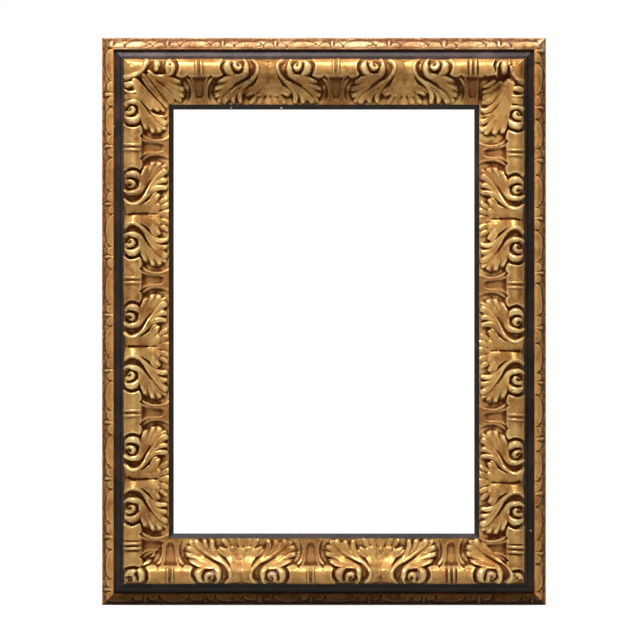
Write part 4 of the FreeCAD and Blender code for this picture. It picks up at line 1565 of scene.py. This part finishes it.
@dataclass
class Studio:
    """The pale floor, the soft light and the camera."""

    distance: float = 7.0                       # of the camera from the back plane
    pixel: float = 1.6585                       # mm on the frame's front for one pixel of the picture
    centre: tuple[float, float] = (324.0, 321.5)    # the frame's middle in the picture
    size: int = 640                             # of the picture
    front: float = 0.045                        # depth of the plane that the pixel is measured on
    ambient: float = 0.10                       # light that the white surroundings give
    floor_reach: float = 3.0                    # from its middle to an edge
    floor_points: int = 12                      # along each edge
    floor_glow: float = 0.78                    # what the camera sees, and the frame doesn't receive
    lamps: tuple[Lamp, ...] = (
        Lamp("key", (-0.3, -1.1, 2.1), (0.7, 0.5), 93.0),
        Lamp("fill", (0.3, -3.4, 0.8), (2.0, 2.0), 17.0),
        Lamp("back", (0.8, 3.0, 1.6), (2.0, 2.0), 60.0),
    )

    def floor(self) -> None:
        """Lay a pale floor that keeps the frame's shadow."""
        count, level = self.floor_points, -FRAME_HEIGHT / 2 * MM
        steps = np.linspace(-self.floor_reach, self.floor_reach, count).tolist()
        points = [(x, y, level) for y in steps for x in steps]
        corners = [row * count + column for row in range(count - 1) for column in range(count - 1)]
        mesh = bpy.data.meshes.new("floor")
        mesh.from_pydata(points, [], [(c, c + 1, c + count + 1, c + count) for c in corners])
        floor = new_piece(mesh)
        finish = Finish("floor_white")
        finish.shade("Base Color", (140, 140, 140))
        finish.shade("Roughness", 0.9)
        finish.shade("Emission Color", (255, 255, 255))
        rays = finish.nodes.new("ShaderNodeLightPath")
        seen = finish.most(rays.outputs["Is Camera Ray"], rays.outputs["Is Glossy Ray"])
        finish.shade("Emission Strength", finish.times(seen, self.floor_glow))
        finish.dress(floor)

    def world(self) -> None:
        """Surround the frame with white, and light it softly."""
        world = bpy.data.worlds.new("studio")
        world.use_nodes = True
        bpy.context.scene.world = world
        nodes, links = world.node_tree.nodes, world.node_tree.links
        rays = nodes.new("ShaderNodeLightPath")
        split = nodes.new("ShaderNodeSeparateXYZ")
        links.new(nodes.new("ShaderNodeTexCoord").outputs["Generated"], split.inputs[0])

        def ranged(value: Socket, low: float, high: float, bottom: float) -> Socket:
            """Map a number from low..high to bottom..1.

            Args:
                value: the number.
                low: where the range starts.
                high: where it ends.
                bottom: the result at low.

            Returns:
                The mapped number.
            """
            node = nodes.new("ShaderNodeMapRange")
            for name, number in (("From Min", low), ("From Max", high), ("To Min", bottom)):
                node.inputs[name].default_value = number
            links.new(value, node.inputs["Value"])
            return node.outputs[0]

        def combined(operation: str, first: Socket, second: Socket) -> Socket:
            """Work out a number from two others.

            Args:
                operation: name of the operation.
                first: its first number.
                second: its second number.

            Returns:
                The result.
            """
            node = nodes.new("ShaderNodeMath")
            node.operation = operation
            links.new(first, node.inputs[0])
            links.new(second, node.inputs[1])
            return node.outputs[0]

        behind = ranged(split.outputs["Y"], -0.1, 0.4, 0.0)
        glossy = combined("MULTIPLY", behind, rays.outputs["Is Glossy Ray"])
        direct = combined("MAXIMUM", rays.outputs["Is Camera Ray"], rays.outputs["Is Transmission Ray"])
        back = nodes["Background"]
        shown = combined("MAXIMUM", direct, glossy)
        links.new(ranged(shown, 0.0, 1.0, self.ambient), back.inputs["Strength"])
        back.inputs["Color"].default_value = (1.0, 1.0, 1.0, 1.0)

    def camera(self) -> None:
        """Stand the camera straight in front, so that the frame fills the picture as in the photograph."""
        data = bpy.data.cameras.new("camera")
        half_view = self.size / 2 * self.pixel * MM
        data.lens = data.sensor_width / 2 * (self.distance - self.front) / half_view
        data.clip_end = 50.0
        camera = bpy.data.objects.new("camera", data)
        camera.location = (-(self.centre[0] - self.size / 2) * self.pixel * MM, -self.distance,
                           (self.centre[1] - self.size / 2) * self.pixel * MM)
        camera.rotation_euler = (math.radians(90), 0, 0)
        bpy.context.scene.collection.objects.link(camera)
        bpy.context.scene.camera = camera

    def build(self) -> None:
        """Set everything up."""
        bpy.context.scene.view_settings.view_transform = "Standard"
        self.floor()
        self.world()
        for lamp in self.lamps:
            lamp.hang()
        self.camera()


# The gilding of the carving, and of the outer moulding's rails, with a copy of the edge gold dimmed with
# painted shade for the top rail, which catches the light, and a copy darkened as painted shade for the bottom
# rail, which faces away from it.
CARVING_GOLD = Gilding(
    bare_places=((-184, -419, 12), (-85, -417, 12), (159, -419, 12), (275, -418, 11), (-352, 434, 6)))
EDGE_GOLD = Gilding(
    name="edge_gold", leaf=(204, 150, 84), pale=(204, 156, 90), burnish_and_highlight=(246, 208, 142), toned=(150, 92, 44),
    recess_patina_and_shade=(72, 32, 14), rubbed=(92, 44, 24), clay=(118, 48, 34), primer=(206, 176, 144),
    clay_shown=1.6, wear=1.0, patchy=0.8, metallic=0.35, bare_places=((366, 456, 15),))
# copy for the top rail: its leaf darkened against the light that this upward slope catches, which is painted
# shade, and more clay worn through
WORN_DIMMED_EDGE_GOLD = Gilding(
    name="worn_dimmed_edge_gold", leaf=(174, 134, 90), pale=(190, 156, 110), burnish_and_highlight=(240, 212, 164),
    toned=(108, 62, 34), recess_patina_and_shade=(58, 25, 10), rubbed=(78, 38, 24), clay=(112, 48, 34), primer=(220, 196, 166),
    clay_shown=2.4, wear=1.0, patchy=0.6, metallic=0.3, bare_places=((362, 462, 14),))
# darker copy for the bottom rail, whose outer slope faces down away from the light: painted shade
SHADED_EDGE_GOLD = Gilding(
    name="painted_shade_edge_gold", leaf=(96, 62, 28), pale=(104, 70, 34), burnish_and_highlight=(136, 96, 52), toned=(54, 30, 13),
    recess_patina_and_shade=(26, 13, 6), rubbed=(40, 18, 10), sheen=(150, 100, 50), clay=(60, 28, 16),
    clay_shown=1.0, wear=1.0, patchy=0.8, metallic=0.3)


@dataclass(frozen=True)
class Mouldings:
    """The two rings of moulding, cut and gilded rail by rail."""

    # places of the collars along each rail
    collars: ClassVar[dict[Side, tuple[float, ...]]] = {
        Side.TOP: (162.0, 389.0, 616.0), Side.BOTTOM: (114.0, 347.0, 580.0),
        Side.LEFT: (183.0, 403.0, 623.0, 843.0), Side.RIGHT: (192.0, 411.0, 630.0, 849.0)}
    # middle of the outer moulding's first repeat
    outer_starts: ClassVar[dict[Side, float]] = {
        Side.TOP: 60.0, Side.BOTTOM: 30.0, Side.LEFT: 45.0, Side.RIGHT: 70.0}

    def build(self) -> None:
        """Build the carved moulding and the outer moulding of each rail, and report them."""
        unit = HalfUnit().panel()
        corners = {Side.LEFT: (LeftCorner().panel(), LeftCorner()),
                   Side.RIGHT: (RightCorner().panel(), RightCorner())}
        outer = OuterMoulding.panel()
        gold, edge = CARVING_GOLD.make(), EDGE_GOLD.make()
        worn_dimmed_edge, shaded_edge = WORN_DIMMED_EDGE_GOLD.make(), SHADED_EDGE_GOLD.make()
        edges = {Side.TOP: worn_dimmed_edge, Side.BOTTOM: shaded_edge, Side.LEFT: edge, Side.RIGHT: edge}
        for side in Side:
            rail = Rail(side)
            carved = CarvedMoulding(rail, gold, self.collars[side], unit, corners).build()
            rim = OuterMoulding(rail, edges[side], outer, self.outer_starts[side]).build()
            for piece in (carved, rim):
                log.info("%s: %d points", piece.name, len(piece.data.vertices))


@dataclass(frozen=True)
class PlainParts:
    """A sub-assembly whose pieces keep their solids and are only finished."""

    # by the start of a piece's name, where the longest start that fits counts
    finishes: dict[str, BlackPaint | Timber | Metal]

    def dress(self, nodes: dict[str, bpy.types.Object]) -> None:
        """Finish the pieces, and report each.

        Args:
            nodes: all the frame's pieces, by name.
        """
        made = {start: finish.make() for start, finish in self.finishes.items()}
        for name, node in nodes.items():
            starts = [start for start in made if name.startswith(start)]
            if starts:
                finish = made[max(starts, key=len)]
                finish.dress(node)
                log.info("%s: %s", name, finish.material.name)


FRIEZE = PlainParts({
    "frieze": BlackPaint("frieze_black", (38, 30, 25), (70, 57, 48), worn_lines=(19.8, 36.6),
                         chips=((-350, 324, 3.0), (343, -347, 2.4))),
    # lighter copy for the top rail's frieze, which faces up to the light: painted light
    "frieze_top": BlackPaint("frieze_black_painted_light", (50, 38, 36), (98, 80, 76), worn_lines=(19.8,)),
    # darker copy for the bottom rail's frieze, which faces down away from the light: painted shade
    "frieze_bottom": BlackPaint("frieze_black_painted_shade", (24, 19, 14), (52, 38, 24), worn_lines=(19.8,)),
})
SIGHT_SLIP = PlainParts({
    "sight_slip": BlackPaint("slip_black", chips=((-154, 355, 2.6), (-71, 355, 3.0))),
})
BACK_BOARDS = PlainParts({
    "back_stile": Timber("pine_upright", (1.0, 1.0, 0.06)),
    "back_rail": Timber("pine_level", (0.06, 1.0, 1.0)),
    "corner_pegs": Timber("peg_wood", (1.0, 0.3, 1.0), (150, 104, 62), (88, 56, 32)),
})
NAILS = PlainParts({
    "carved_moulding_nails": Metal("forged_iron", (92, 84, 78), (74, 44, 28), 0.5, 0.8),
    "outer_moulding_nails": Metal("forged_iron_small", (92, 84, 78), (74, 44, 28), 0.5, 0.8),
})
HANGERS = PlainParts({
    "hanger_screws": Metal("screw_steel", (150, 146, 138), (88, 74, 60)),
    "hanger": Metal("aged_brass", (176, 148, 92), (112, 90, 56), 0.34),
})
TURN_BUTTONS = PlainParts({
    "turn_button_screws": Metal("screw_steel_small", (150, 146, 138), (88, 74, 60)),
    "turn_button": Metal("button_brass", (172, 142, 88), (106, 86, 54), 0.36),
})


def main() -> None:
    """Build the scene, and dress the pieces."""
    logging.basicConfig(level=logging.INFO, format="%(message)s")
    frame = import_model()
    Studio().build()
    Mouldings().build()
    for parts in (FRIEZE, SIGHT_SLIP, BACK_BOARDS, NAILS, HANGERS, TURN_BUTTONS):
        parts.dress(frame["nodes"])


if __name__ == "__main__":
    main()
